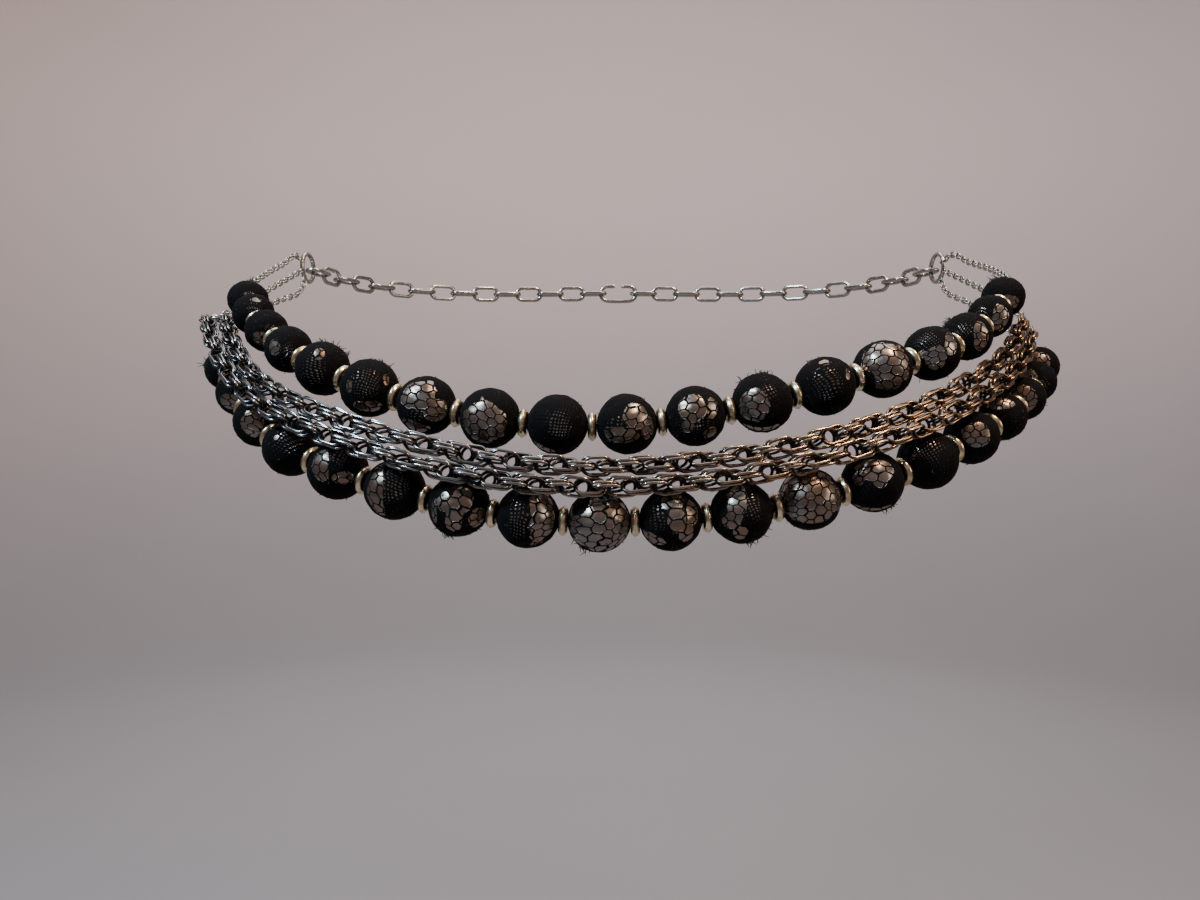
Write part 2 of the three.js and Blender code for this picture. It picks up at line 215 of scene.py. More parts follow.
# The stage, in metres and watts: a floor of paper that bends up into a round wall, lights, of which
# the key and warm ones' power is a setting, and the camera's sensor and lens in millimetres
FLOOR_RADIUS = 1.2
BEND_RADIUS = 0.8
WALL_HEIGHT = 2.2
CENTRE_RADIUS = 0.0005
BEND_POINTS = 12
FLOOR_AROUND = 72
PAPER_FADE = (-0.2, 1.3)
PAPER_UNEVENNESS = 0.05
PAPER_ROUGHNESS = 0.9
FIXED_POWERS = {"side_light": 4, "top_light": 13, "backdrop_light": 12, "rear_light": 3.5}
LIGHTS = {
    "key_light": {"place": (-0.48, -0.4, 0.56), "size": 0.16, "colour": (0.56, 0.82, 1.0)},
    "warm_light": {"place": (0.24, -0.3, 0.6), "size": 0.12, "colour": (1.0, 0.7, 0.44)},
    "side_light": {"place": (0.95, -0.5, 0.3), "size": 0.4, "colour": (1.0, 0.8, 0.62)},
    "top_light": {"place": (0.0, 0.35, 1.3), "size": 1.1, "colour": (1.0, 0.98, 0.96)},
    "backdrop_light": {"place": (0.0, 0.7, 0.8), "size": 1.2, "colour": (1.0, 0.98, 0.97),
                       "target": (0.0, 1.9, 0.3)},
    "rear_light": {"place": (0.0, -0.8, 1.2), "size": 1.2, "colour": (1.0, 0.98, 0.97),
                   "target": (0.0, -1.9, 0.3)},
}
SURROUND_COLOUR = (0.62, 0.62, 0.66, 1)
SURROUND_STRENGTH = 0.27
SENSOR_WIDTH = 36
FOCAL_LENGTH = 27.03
NEAREST_SEEN = 0.01

# Tones, as shares of a setting's colour or as colours of their own
WARM_PEARL = (0.88, 0.74, 0.63)
COOL_PEARL = (0.72, 0.82, 0.98)
PALE_THREAD = (4, 4, 4)
WORN_PLATING = (0.55, 0.5, 0.42)
# The two hollow colours are painted shade between the rope links, the warm one under the painted
# warm light
COOL_PAINTED_SHADE = (0.028, 0.028, 0.032)
WARM_PAINTED_SHADE = (0.042, 0.026, 0.016)
DULL_CHAIN = (0.34, 0.31, 0.27)
DULL_RING = (0.38, 0.35, 0.31)

# The lace's finish, in cells of the open net. Sways are a noise scale for each metre and a reach.
# The fine net has this many holes to a cell round the bead and along it
SWAYS = ((150, 1.3), (520, 0.34))
RAGGEDNESS = 0.55
PATCH_EDGE = 0.03
NET_THREAD_WIDTH = 0.044
NET_THREAD_SPREAD = 0.056
NET_THREAD_EDGE = 0.018
FINE_ACROSS = 3
FINE_ALONG = 5 / math.sqrt(3)
FINE_RAGGEDNESS = 1.4
FINE_FADE = (-0.2, 0.5)
HOLE_SIZE = 0.5
HOLE_SPREAD = 0.62
HOLE_EDGE = (-0.06, 0.1)
VEIL_ON_HOLES = 0.38
LACE_ROUGHNESS = 0.9
PEARL_POLISH = 0.68
PEARL_POLISH_SPREAD = 0.14
PEARL_METALLIC = 0.92
LACE_SPECULAR = 0.06
THREAD_HEIGHT = 0.7
WEAVE_HEIGHT = 0.4
LACE_BUMP = 0.2

# The metal finishes: where noise turns to tarnish, what noise and tarnish add to the roughness, and
# the height of the bump in millimetres with its strength
TARNISH_FADE = (0.38, 0.7)
GLOSS_SPREAD = 0.16
TARNISH_ROUGHNESS = 0.08
METAL_BUMP = (0.03, 0.5)

# The rope chains' finish: the stretch from cool to painted warm light in metres, where links pass
# from painted shade to their bright colour as shares of the chain's radius, and how rough they are
PAINTED_WARM_LIGHT_STRETCH = (-0.07, 0.085)
PAINTED_WARM_LIGHT_SPREAD = 0.09
PAINTED_SHADE_FADE = (0.55, 1.05)
PAINTED_SHADE_EDGE_SPREAD = 0.5
ROPE_ROUGHNESS = 0.26
ROPE_POLISH = 0.15
ROPE_GLOSS_SPREAD = 0.1
ROPE_BUMP = (0.02, 0.4)

# The lace on each bead, as patches of open net or fine net on dense lace, and of dense lace on
# those. A patch is its kind, the place of its middle to the right and up on the bead as seen from
# the front, and its half sizes across and high, all in bead radii
LACE = {
    "upper": [
        [("fine", 0.1, 0.2, 0.4, 0.3), ("open", -0.1, 0.3, 0.14, 0.1)],
        [("open", 0.1, 0.72, 0.28, 0.14), ("fine", 0.0, 0.3, 0.4, 0.3)],
        [("open", -0.3, -0.35, 0.36, 0.34), ("fine", 0.2, 0.1, 0.3, 0.3)],
        [("open", -0.58, 0.08, 0.26, 0.34), ("fine", 0.0, -0.1, 0.3, 0.4)],
        [("fine", -0.32, -0.05, 0.42, 0.6), ("open", -0.12, 0.55, 0.18, 0.24)],
        [("fine", -0.12, 0.2, 0.48, 0.52), ("open", -0.68, 0.06, 0.13, 0.22),
         ("open", -0.08, -0.64, 0.48, 0.26), ("open", 0.54, 0.28, 0.12, 0.2)],
        [("open", -0.3, 0.36, 0.6, 0.5), ("open", 0.32, -0.15, 0.42, 0.4),
         ("open", -0.4, -0.72, 0.5, 0.24), ("open", 0.1, 0.6, 0.3, 0.3),
         ("dense", 0.62, 0.62, 0.42, 0.42), ("fine", -0.36, -0.28, 0.4, 0.26)],
        [("open", -0.28, -0.16, 0.7, 0.72), ("dense", 0.5, 0.62, 0.52, 0.42)],
        [("fine", 0.05, -0.05, 0.42, 0.5), ("open", -0.45, -0.78, 0.4, 0.14)],
        [("open", 0.3, 0.3, 0.42, 0.44), ("open", 0.68, -0.1, 0.26, 0.4),
         ("open", -0.18, -0.36, 0.6, 0.28), ("fine", -0.28, 0.06, 0.4, 0.22)],
        [("open", -0.12, 0.3, 0.46, 0.48), ("open", 0.55, 0.3, 0.2, 0.34),
         ("fine", -0.1, -0.3, 0.55, 0.36), ("open", 0.5, -0.55, 0.24, 0.24),
         ("open", -0.26, -0.34, 0.2, 0.2)],
        [("open", -0.3, -0.06, 0.5, 0.54), ("open", 0.0, -0.86, 0.6, 0.12),
         ("fine", 0.2, 0.35, 0.3, 0.3)],
        [("fine", 0.02, 0.15, 0.52, 0.56), ("open", 0.0, 0.8, 0.22, 0.14),
         ("open", 0.72, 0.4, 0.1, 0.24)],
        [("open", 0.1, 0.15, 0.8, 0.78), ("dense", -0.55, -0.4, 0.36, 0.4)],
        [("fine", -0.2, 0.4, 0.52, 0.42), ("open", 0.18, -0.18, 0.38, 0.44),
         ("open", 0.66, 0.35, 0.26, 0.46), ("open", -0.3, 0.0, 0.2, 0.14)],
        [("open", 0.55, 0.0, 0.34, 0.62), ("fine", -0.1, 0.3, 0.4, 0.3)],
        [("open", 0.5, -0.1, 0.38, 0.62), ("fine", -0.3, 0.1, 0.4, 0.5)],
        [("open", 0.05, -0.32, 0.66, 0.42)],
    ],
    "lower": [
        [("fine", -0.2, 0.1, 0.4, 0.4)],
        [("open", -0.45, -0.4, 0.42, 0.4), ("open", 0.15, 0.62, 0.4, 0.2),
         ("fine", 0.0, 0.2, 0.4, 0.4)],
        [("open", -0.28, -0.1, 0.42, 0.55), ("open", 0.02, 0.5, 0.34, 0.3)],
        [("fine", -0.1, 0.34, 0.58, 0.52), ("open", -0.52, 0.36, 0.1, 0.1),
         ("open", -0.3, 0.88, 0.5, 0.1)],
        [("open", -0.58, 0.2, 0.34, 0.55), ("fine", 0.02, 0.45, 0.4, 0.32),
         ("open", 0.16, -0.26, 0.36, 0.22)],
        [("open", -0.66, -0.1, 0.32, 0.78), ("fine", -0.06, 0.2, 0.46, 0.54),
         ("open", -0.2, 0.86, 0.5, 0.1)],
        [("open", -0.48, 0.15, 0.26, 0.32), ("open", 0.12, 0.22, 0.34, 0.44),
         ("open", -0.18, -0.4, 0.28, 0.5), ("open", 0.6, -0.4, 0.34, 0.34),
         ("open", -0.8, -0.15, 0.15, 0.4), ("fine", 0.1, 0.8, 0.3, 0.14)],
        [("open", 0.5, 0.1, 0.46, 0.92), ("fine", -0.28, -0.05, 0.42, 0.62)],
        [("open", 0.08, -0.12, 0.96, 0.88), ("dense", -0.62, 0.5, 0.36, 0.36),
         ("fine", -0.25, 0.52, 0.3, 0.22)],
        [("open", 0.05, 0.58, 0.36, 0.36), ("open", 0.2, 0.05, 0.28, 0.48),
         ("open", 0.68, 0.2, 0.24, 0.42), ("open", 0.5, -0.42, 0.26, 0.36),
         ("fine", -0.48, 0.08, 0.36, 0.44), ("open", -0.58, -0.6, 0.42, 0.22)],
        [("open", -0.16, 0.36, 0.32, 0.62), ("fine", 0.3, 0.26, 0.3, 0.44),
         ("open", -0.34, -0.28, 0.3, 0.26), ("open", -0.04, -0.66, 0.24, 0.28)],
        [("open", 0.0, 0.14, 0.94, 0.84), ("dense", 0.0, -0.9, 0.8, 0.26)],
        [("open", 0.08, 0.42, 0.6, 0.4), ("open", -0.42, 0.1, 0.22, 0.22),
         ("open", 0.24, 0.02, 0.22, 0.22), ("open", 0.0, -0.9, 0.6, 0.1)],
        [("fine", 0.0, 0.42, 0.52, 0.42), ("open", -0.42, 0.1, 0.09, 0.09)],
        [("open", 0.18, 0.12, 0.48, 0.46)],
        [("open", -0.1, 0.58, 0.54, 0.3)],
        [("open", 0.0, 0.0, 0.62, 0.62)],
        [("open", -0.3, 0.2, 0.44, 0.44), ("fine", 0.3, -0.2, 0.4, 0.4)],
        [("open", 0.0, 0.36, 0.56, 0.48)],
    ],
}

# Random patches on the side away from the viewer, and how deep dense lace covers fine net
FAR_PATCHES = 4
FAR_OPEN_SHARE = 0.6
FAR_REACH = 0.7
FAR_SIZES = (0.25, 0.6)
FINE_UNDER_DENSE = 0.4
LACE_STRETCHES = (0.95, 1.35)

# Tufts of loose lace thread: the bead's index in its row, and the side of it where they stand
TUFTS = {
    "upper": [(0, 0.2, 1.0), (4, 0.75, 0.65), (4, 0.05, 1.0), (5, 0.5, 0.85), (11, 0.0, 1.0),
              (11, -0.7, 0.7), (15, -0.8, 0.6), (17, -0.45, 0.9)],
    "lower": [(0, -0.9, 0.3), (6, -0.4, -0.9), (8, -0.6, -0.8), (10, 0.33, -0.94), (12, 0.6, -0.8)],
}


def length_setting(name, description, value):
    """A length, whose first value is given in millimetres."""
    return FloatProperty(
        name=name, description=description, default=value * MM, unit="LENGTH", subtype="DISTANCE"
    )


def colour_setting(name, description, value):
    """A colour."""
    return FloatVectorProperty(
        name=name, description=description, default=value, size=3, subtype="COLOR"
    )


def power_setting(name, description, value):
    """The power of a light, in watts."""
    return FloatProperty(name=name, description=description, default=value, unit="POWER")


class BeadSettings(PropertyGroup):
    """Sizes and colours of the lace covered beads."""

    front_width: length_setting("Front bead width", "Width of the beads in front", 14.3)
    net_pitch: length_setting("Net pitch", "Width of one cell of the open net", 2.45)
    lumpiness: FloatProperty(
        name="Lumpiness", description="How far the lace cover departs from a ball",
        default=0.02, subtype="FACTOR",
    )
    pearl_colour: colour_setting("Pearl", "Colour of the bead under the lace", (0.2, 0.172, 0.157))
    lace_colour: colour_setting("Lace", "Colour of the lace thread", (0.0028, 0.0024, 0.0028))


class SpacerSettings(PropertyGroup):
    """Sizes and colour of the ridged spacer rings."""

    radius: length_setting("Radius", "Outer radius of a spacer ring", 3.35)
    thickness: length_setting("Thickness", "Thickness of a spacer ring at its rim", 2.05)
    colour: colour_setting("Plating", "Colour of the pale gold plating", (0.66, 0.565, 0.39))


class ChainSettings(PropertyGroup):
    """Sizes and colours of the rope chains and cable chains."""

    rope_pitch: length_setting("Rope pitch", "Distance from one pair of links to the next", 3.43)
    rope_link_length: length_setting("Rope link length", "Length of one rope chain link", 7.2)
    rope_width: length_setting("Rope width", "Width of one rope chain", 4.8)
    tail_link_length: length_setting("Tail link length", "Length of one fine chain link", 3.5)
    cool_colour: colour_setting(
        "Rope, cool", "Colour of the rope chains on the left", (0.23, 0.236, 0.244)
    )
    # The warm colour is the rope's gunmetal with painted warm light from the lamp at the right
    warm_lit_colour: colour_setting(
        "Rope, warm", "Colour of the rope chains on the right", (0.33, 0.212, 0.125)
    )
    silver_colour: colour_setting(
        "Cable", "Colour of the cable chains, rings and hook", (0.34, 0.325, 0.3)
    )


class StageSettings(PropertyGroup):
    """The floor and the light."""

    floor_height: length_setting("Floor height", "Height of the floor from the origin", -320)
    floor_colour: colour_setting("Floor", "Colour of the floor", (0.215, 0.203, 0.215))
    backdrop_colour: colour_setting(
        "Backdrop", "Colour of the wall that the floor bends up into", (0.73, 0.6, 0.575)
    )
    key_power: power_setting("Key power", "Power of the soft light at the upper left", 12)
    warm_power: power_setting("Warm power", "Power of the soft light at the upper right", 6)


# Arrays of vectors


def unit(vectors):
    """Each vector over its own length."""
    return vectors / np.linalg.norm(vectors, axis=-1, keepdims=True)


def squared_to(vectors, axes):
    """Each vector less its share along its axis, over its length."""
    return unit(vectors - (vectors * axes).sum(-1, keepdims=True) * axes)


def upright_to(axes):
    """For each axis the direction square to it that is nearest to up."""
    return squared_to(np.broadcast_to(UP, axes.shape), axes)


def smooth(x):
    """3x² - 2x³ with x held between 0 and 1."""
    x = np.clip(x, 0, 1)
    return x * x * (3 - 2 * x)


def mix(a, b, share):
    """The point that lies a share of the way from a to b."""
    return a + (b - a) * share


def midway(points):
    """The middle of each step of a line of points."""
    return (points[1:] + points[:-1]) / 2


def tinted(colour, shares):
    """A colour with a share taken of each channel."""
    return [channel * share for channel, share in zip(colour, shares)]


def turns(count, start=0.0):
    """Even angles round a full circle."""
    return start + 2 * np.pi * np.arange(count) / count


def run_of(points):
    """Distance along a line of points, from its first."""
    return np.concatenate([[0], np.cumsum(np.linalg.norm(np.diff(points, axis=0), axis=1))])


def at_run(points, run, places):
    """Points of a line at given distances along it."""
    return np.stack([np.interp(places, run, points[:, k]) for k in range(3)], -1)


def ways_at_run(points, run, places, slope):
    """Directions of a line at given distances along it, from a slope before to a slope after."""
    return unit(at_run(points, run, places + slope) - at_run(points, run, places - slope))


def curve_through(points, count):
    """A smooth line through points: cubic pieces whose slopes are central differences over the
    chord lengths."""
    points = np.asarray(points, float)
    run = run_of(points)
    slopes = np.gradient(points, run, axis=0)
    places = np.linspace(0, run[-1], count)
    piece = np.clip(np.searchsorted(run, places, side="right") - 1, 0, len(points) - 2)
    step = (run[piece + 1] - run[piece])[:, None]
    t = (places[:, None] - run[piece][:, None]) / step
    return (
        (2 * t**3 - 3 * t**2 + 1) * points[piece]
        + (t**3 - 2 * t**2 + t) * step * slopes[piece]
        + (3 * t**2 - 2 * t**3) * points[piece + 1]
        + (t**3 - t**2) * step * slopes[piece + 1]
    )


# Places on the belt


def waist_point(angle, outset, height):
    """Reach = (|sin / half width|^e + |cos / depth|^e)^(-1/e) at an angle from the front, with the
    outset added to both half width and depth."""
    turn = np.radians(np.asarray(angle, float))
    depth = np.where(np.cos(turn) > 0, WAIST_FRONT_DEPTH, WAIST_BACK_DEPTH) + outset
    across = np.abs(np.sin(turn) / (WAIST_HALF_WIDTH + outset)) ** WAIST_SQUARENESS
    along = np.abs(np.cos(turn) / depth) ** WAIST_SQUARENESS
    reach = (across + along) ** (-1 / WAIST_SQUARENESS)
    return np.stack([reach * np.sin(turn), -reach * np.cos(turn), height + 0 * turn], -1)


def outward(angle):
    """The level direction out of the waist, square to the waist curve."""
    angle = np.asarray(angle, float)
    ahead = waist_point(angle + SLOPE_STEP, 0, 0) - waist_point(angle - SLOPE_STEP, 0, 0)
    return unit(np.cross(ahead, UP))


def drape(column, angle):
    """A column of the drape table at any angle: the cubic through its four nearest rows with
    central slopes, and rows past the ends that carry on straight."""
    values = np.array(DRAPE[column], float)
    values = np.concatenate(
        [[2 * values[0] - values[1]], values, [2 * values[-1] - values[-2]]]
    )
    last = len(DRAPE["at"]) - 1
    place = np.clip((np.asarray(angle, float) - DRAPE["at"][0]) / DRAPE_STEP, 0, last)
    row = np.minimum(np.floor(place), last - 1).astype(int)
    a, b, c, d = (values[row + k] for k in range(4))
    t = place - row
    bend = 2 * a - 5 * b + 4 * c - d
    twist = 3 * b - a - 3 * c + d
    return b + ((c - a) * t + bend * t**2 + twist * t**3) / 2


def row_point(name, angle):
    """The line of a bead row."""
    return waist_point(angle, ROWS[name]["outset"], drape(name, angle))


def row_places(name, front_width):
    """A row's bead widths, and the points where its thread bends. Widths ease from the end bead's
    to the front bead's and back, and bends lie one bead and one space apart along the row."""
    row = ROWS[name]
    index = np.arange(row["count"])
    rising = smooth((index - row["grows"]) / SIZE_CHANGE_BEADS + 0.5)
    falling = smooth((row["shrinks"] - index) / SIZE_CHANGE_BEADS + 0.5)
    widths = END_BEAD_WIDTH + (front_width - END_BEAD_WIDTH) * rising * falling
    steps = np.concatenate([[0], np.cumsum(widths + BEAD_SPACE)])
    angles = np.linspace(-ROW_REACH, ROW_REACH, 2 * ROW_WALK_STEPS + 1)
    run = run_of(row_point(name, angles))
    distances = row["start"] - (widths[0] + BEAD_SPACE) / 2 + steps
    bends = row_point(name, np.interp(distances, run - run[ROW_WALK_STEPS], angles))
    return widths, bends


def rope_line(side, angle):
    """The axis of one rope chain, and its direction out. The pair lies between the rows, stands out
    from their plane, and is turned about its middle. Side is -1 above and 1 below."""
    upper, lower = row_point("upper", angle), row_point("lower", angle)
    down = unit(lower - upper)
    out = squared_to(outward(angle), down)
    turn = np.radians(drape("turn", angle))[..., None]
    middle = mix(upper, lower, drape("between", angle)[..., None])
    middle = middle + out * drape("stand_out", angle)[..., None]
    leaning = down * np.cos(turn) + out * np.sin(turn)
    return middle + leaning * side * ROPE_SPACING / 2, out * np.cos(turn) - down * np.sin(turn)


def closing_point(angle):
    """The closing chain's line, which rises smoothly from the gather ring to the back."""
    share = (np.abs(angle) - GATHER_AT) / (BACK - GATHER_AT)
    return waist_point(angle, GATHER_OUTSET, mix(GATHER_HEIGHT, CLOSING_HEIGHT, smooth(share)))


def gather_frame(side):
    """A gather ring's centre, and the level direction back along the waist there."""
    before = closing_point(side * (GATHER_AT - SLOPE_STEP))
    back = closing_point(side * (GATHER_AT + SLOPE_STEP)) - before
    back[2] = 0
    return closing_point(side * GATHER_AT), unit(back)


def angle_of(point):
    """A point's angle round the waist, from the front."""
    return np.degrees(np.arctan2(point[0], -point[1]))


def closing_step(start, side, distance):
    """The place on the closing chain's line that lies a straight distance past another."""
    near, far = abs(angle_of(start)), BACK
    for _ in range(BISECTIONS):
        middle = (near + far) / 2
        if np.linalg.norm(closing_point(side * middle) - start) < distance:
            near = middle
        else:
            far = middle
    return closing_point(side * near)


# Meshes


def grid_faces(rows, columns, wrap_rows):
    """Quads between the lines of a grid, whose columns always close on themselves."""
    row, column = np.meshgrid(
        np.arange(rows if wrap_rows else rows - 1), np.arange(columns), indexing="ij"
    )
    below, beside = (row + 1) % rows, (column + 1) % columns
    corners = [row * columns + column, below * columns + column,
               below * columns + beside, row * columns + beside]
    return np.stack(corners, -1).reshape(-1, 4)


def volume(points, faces):
    """Six times the volume that a shell of flat faces holds, from a fan on each face."""
    total = 0.0
    for corners in faces:
        for k in range(1, corners.shape[1] - 1):
            a, b, c = (points[corners[:, i]] for i in (0, k, k + 1))
            total += (a * np.cross(b, c)).sum()
    return total


def copies(points, faces):
    """Shells of like build as one shape: points is shells by points by 3, and every shell's faces
    point outwards."""
    shells, size = points.shape[:2]
    if volume(points[0] - points[0].mean(0), faces) < 0:
        faces = [corners[:, ::-1] for corners in faces]
    start = (np.arange(shells) * size)[:, None, None]
    faces = [(corners[None] + start).reshape(-1, corners.shape[1]) for corners in faces]
    return points.reshape(-1, 3), faces


def tubes(paths, sideways, radii, sides):
    """Round tubes, closed at both ends: place + radius (cos w across + sin w over), where across is
    square to the path and to sideways."""
    along = unit(np.gradient(paths, axis=1))
    across = unit(np.cross(np.broadcast_to(sideways, along.shape), along))
    over = np.cross(along, across)
    w = turns(sides)[:, None]
    radii = np.broadcast_to(radii, paths.shape[:2])[..., None, None]
    ring = np.cos(w) * across[:, :, None] + np.sin(w) * over[:, :, None]
    points = paths[:, :, None] + radii * ring
    count = paths.shape[1]
    caps = np.stack([np.arange(sides)[::-1], (count - 1) * sides + np.arange(sides)])
    return copies(points.reshape(len(paths), -1, 3), [grid_faces(count, sides, False), caps])


def loop_pattern(size, wire, detail, flatness=2.0):
    """One closed wire loop in its own axes. Size is half the straight part and the end radius: the
    path is (sign(cos t) straight + radius cos t, radius sin t) in the plane of x and y. Wire is
    its half sizes in that plane and square to it, or one radius, and its section a superellipse.
    Detail is the number of points round the loop and round the wire."""
    straight, radius = size
    wire = np.broadcast_to(wire, 2)
    around, section = detail
    t = turns(around, np.pi / around)[:, None]
    w = turns(section)[None]
    flat = (np.abs(np.cos(w)) ** flatness + np.abs(np.sin(w)) ** flatness) ** (-1 / flatness)
    reach = radius + wire[0] * flat * np.cos(w)
    x = np.sign(np.cos(t)) * straight + reach * np.cos(t)
    return np.stack([x, reach * np.sin(t), wire[1] * flat * np.sin(w) + 0 * t], -1)


def loops(centres, along, across, pattern):
    """Copies of a loop's pattern: centre + x along + y across + z square to both."""
    basis = np.stack([along, across, np.cross(along, across)], 1)
    points = centres[:, None] + pattern.reshape(-1, 3) @ basis
    return copies(points, [grid_faces(*pattern.shape[:2], True)])


def joined(shapes):
    """Several shapes as one, with the number of faces of each."""
    points, faces, counts, start = [], [], [], 0
    for shape_points, shape_faces in shapes:
        points.append(shape_points)
        faces.extend(corners + start for corners in shape_faces)
        counts.append(sum(len(corners) for corners in shape_faces))
        start += len(shape_points)
    return np.concatenate(points), faces, counts


def add_piece(name, points, faces, finishes, replaced=(), finish_index=None):
    """Puts a shape into a mesh of its own, in metres, that rides on the belt's body."""
    mesh = bpy.data.meshes.new(name)
    mesh.vertices.add(len(points))
    mesh.vertices.foreach_set("co", (points * MM).astype(np.float32).ravel())
    corners = np.concatenate([face.ravel() for face in faces]).astype(np.int32)
    sizes = np.concatenate([np.full(len(face), face.shape[1]) for face in faces])
    mesh.loops.add(len(corners))
    mesh.loops.foreach_set("vertex_index", corners)
    mesh.polygons.add(len(sizes))
    mesh.polygons.foreach_set("loop_start", (np.cumsum(sizes) - sizes).astype(np.int32))
    for finish in finishes:
        mesh.materials.append(finish)
    if finish_index is not None:
        mesh.polygons.foreach_set("material_index", finish_index.astype(np.int32))
    mesh.update(calc_edges=True)
    mesh.shade_smooth()
    piece = bpy.data.objects.new(name, mesh)
    bpy.context.scene.collection.objects.link(piece)
    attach(piece, BODY)
    if replaced:
        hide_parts(*replaced)
    return piece


def add_field(piece, name, values):
    """Gives a piece a number at each point, for its finish to read."""
    layer = piece.data.attributes.new(name, "FLOAT", "POINT")
    layer.data.foreach_set("value", values.astype(np.float32).ravel())


# Materials


class Value:
    """A number in a material. An operator on it adds the Math node that works it out."""

    def __init__(self, finish, socket):
        self.finish = finish
        self.socket = socket

    def __add__(self, other):
        return self.finish.math("ADD", self, other)

    __radd__ = __add__

    def __sub__(self, other):
        return self.finish.math("SUBTRACT", self, other)

    def __rsub__(self, other):
        return self.finish.math("SUBTRACT", other, self)

    def __mul__(self, other):
        return self.finish.math("MULTIPLY", self, other)

    __rmul__ = __mul__


class Finish:
    """A material on one Principled shader, and the nodes that feed it."""

    def __init__(self, name):
        self.material = bpy.data.materials.new(name)
        self.material.use_nodes = True
        self.nodes = self.material.node_tree.nodes
        self.shader = self.nodes["Principled BSDF"]

    def set(self, socket, value):
        """Links a value to a socket, or sets the socket to a plain number, colour or vector."""
        if isinstance(value, Value):
            self.material.node_tree.links.new(value.socket, socket)
        elif hasattr(value, "__len__") and len(socket.default_value) == len(value) + 1:
            socket.default_value = (*value, 1.0)
        else:
            socket.default_value = value

    def node(self, kind, settings, sockets, output=0):
        """Adds a node with its settings and sockets, and gives one of its outputs."""
        node = self.nodes.new(kind)
        for key, value in settings.items():
            setattr(node, key, value)
        for key, value in sockets.items():
            self.set(node.inputs[key], value)
        return Value(self, node.outputs[output])

    def math(self, operation, *values):
        """A Math node on two or three numbers."""
        return self.node("ShaderNodeMath", {"operation": operation}, dict(enumerate(values)))

    def vector(self, operation, *values):
        """A Vector Math node."""
        return self.node("ShaderNodeVectorMath", {"operation": operation}, dict(enumerate(values)))

    def part(self, vector, axis):
        """One coordinate of a vector, by its place."""
        return self.node("ShaderNodeSeparateXYZ", {}, {0: vector}, axis)

    def ease(self, value, low, high):
        """0 below low, 1 above high and smooth between them."""
        return self.node(
            "ShaderNodeMapRange", {"interpolation_type": "SMOOTHSTEP"}, {0: value, 1: low, 2: high}
        )

    def blend(self, share, a, b):
        """The colour a share of the way from a to b."""
        return self.node("ShaderNodeMix", {"data_type": "RGBA"}, {0: share, 6: a, 7: b}, 2)

    def place(self):
        """The place on the piece, in metres."""
        return self.node("ShaderNodeTexCoord", {}, {}, 3)

    def noise(self, scale, detail=2.0, output=0):
        """Soft noise, by its scale for each metre. Output 0 is a number and 1 a vector."""
        sockets = {"Vector": self.place(), "Scale": scale, "Detail": detail}
        return self.node("ShaderNodeTexNoise", {}, sockets, output)

    def sway(self, vector, scale, reach):
        """A vector that soft noise moves by up to half the reach each way."""
        offset = self.vector("SUBTRACT", self.noise(scale, 1.0, output=1), (0.5, 0.5, 0.5))
        sockets = {0: offset, "Scale": reach}
        offset = self.node("ShaderNodeVectorMath", {"operation": "SCALE"}, sockets)
        return self.vector("ADD", vector, offset)

    def field(self, name):
        """A number that the mesh holds at each point."""
        return self.node("ShaderNodeAttribute", {"attribute_name": name}, {}, 2)

    def bump(self, height, step, strength=1.0):
        """Bends the normal by a height, whose full step is given in millimetres."""
        sockets = {"Strength": strength, "Distance": step * MM, "Height": height}
        self.set(self.shader.inputs["Normal"], self.node("ShaderNodeBump", {}, sockets))

    def shade(self, **sockets):
        """Feeds the shader's sockets, named with underscores for spaces."""
        for key, value in sockets.items():
            self.set(self.shader.inputs[key.replace("_", " ")], value)


def hexagon_edge(finish, x, y):
    """Distance to the edge of a honeycomb whose cells are 1 wide: half less the smaller of the
    hexagon distances max(|x|, |x|/2 + |y| sqrt(3)/2) to the two lattices of middles."""
    half_row = math.sqrt(3) / 2
    distances = []
    for shift_x, shift_y in ((0, 0), (0.5, half_row)):
        dx = finish.math("ABSOLUTE", finish.math("WRAP", x - shift_x, 0.5, -0.5))
        dy = finish.math("ABSOLUTE", finish.math("WRAP", y - shift_y, half_row, -half_row))
        distances.append(finish.math("MAXIMUM", dx, dx * 0.5 + dy * half_row))
    return 0.5 - finish.math("MINIMUM", *distances)


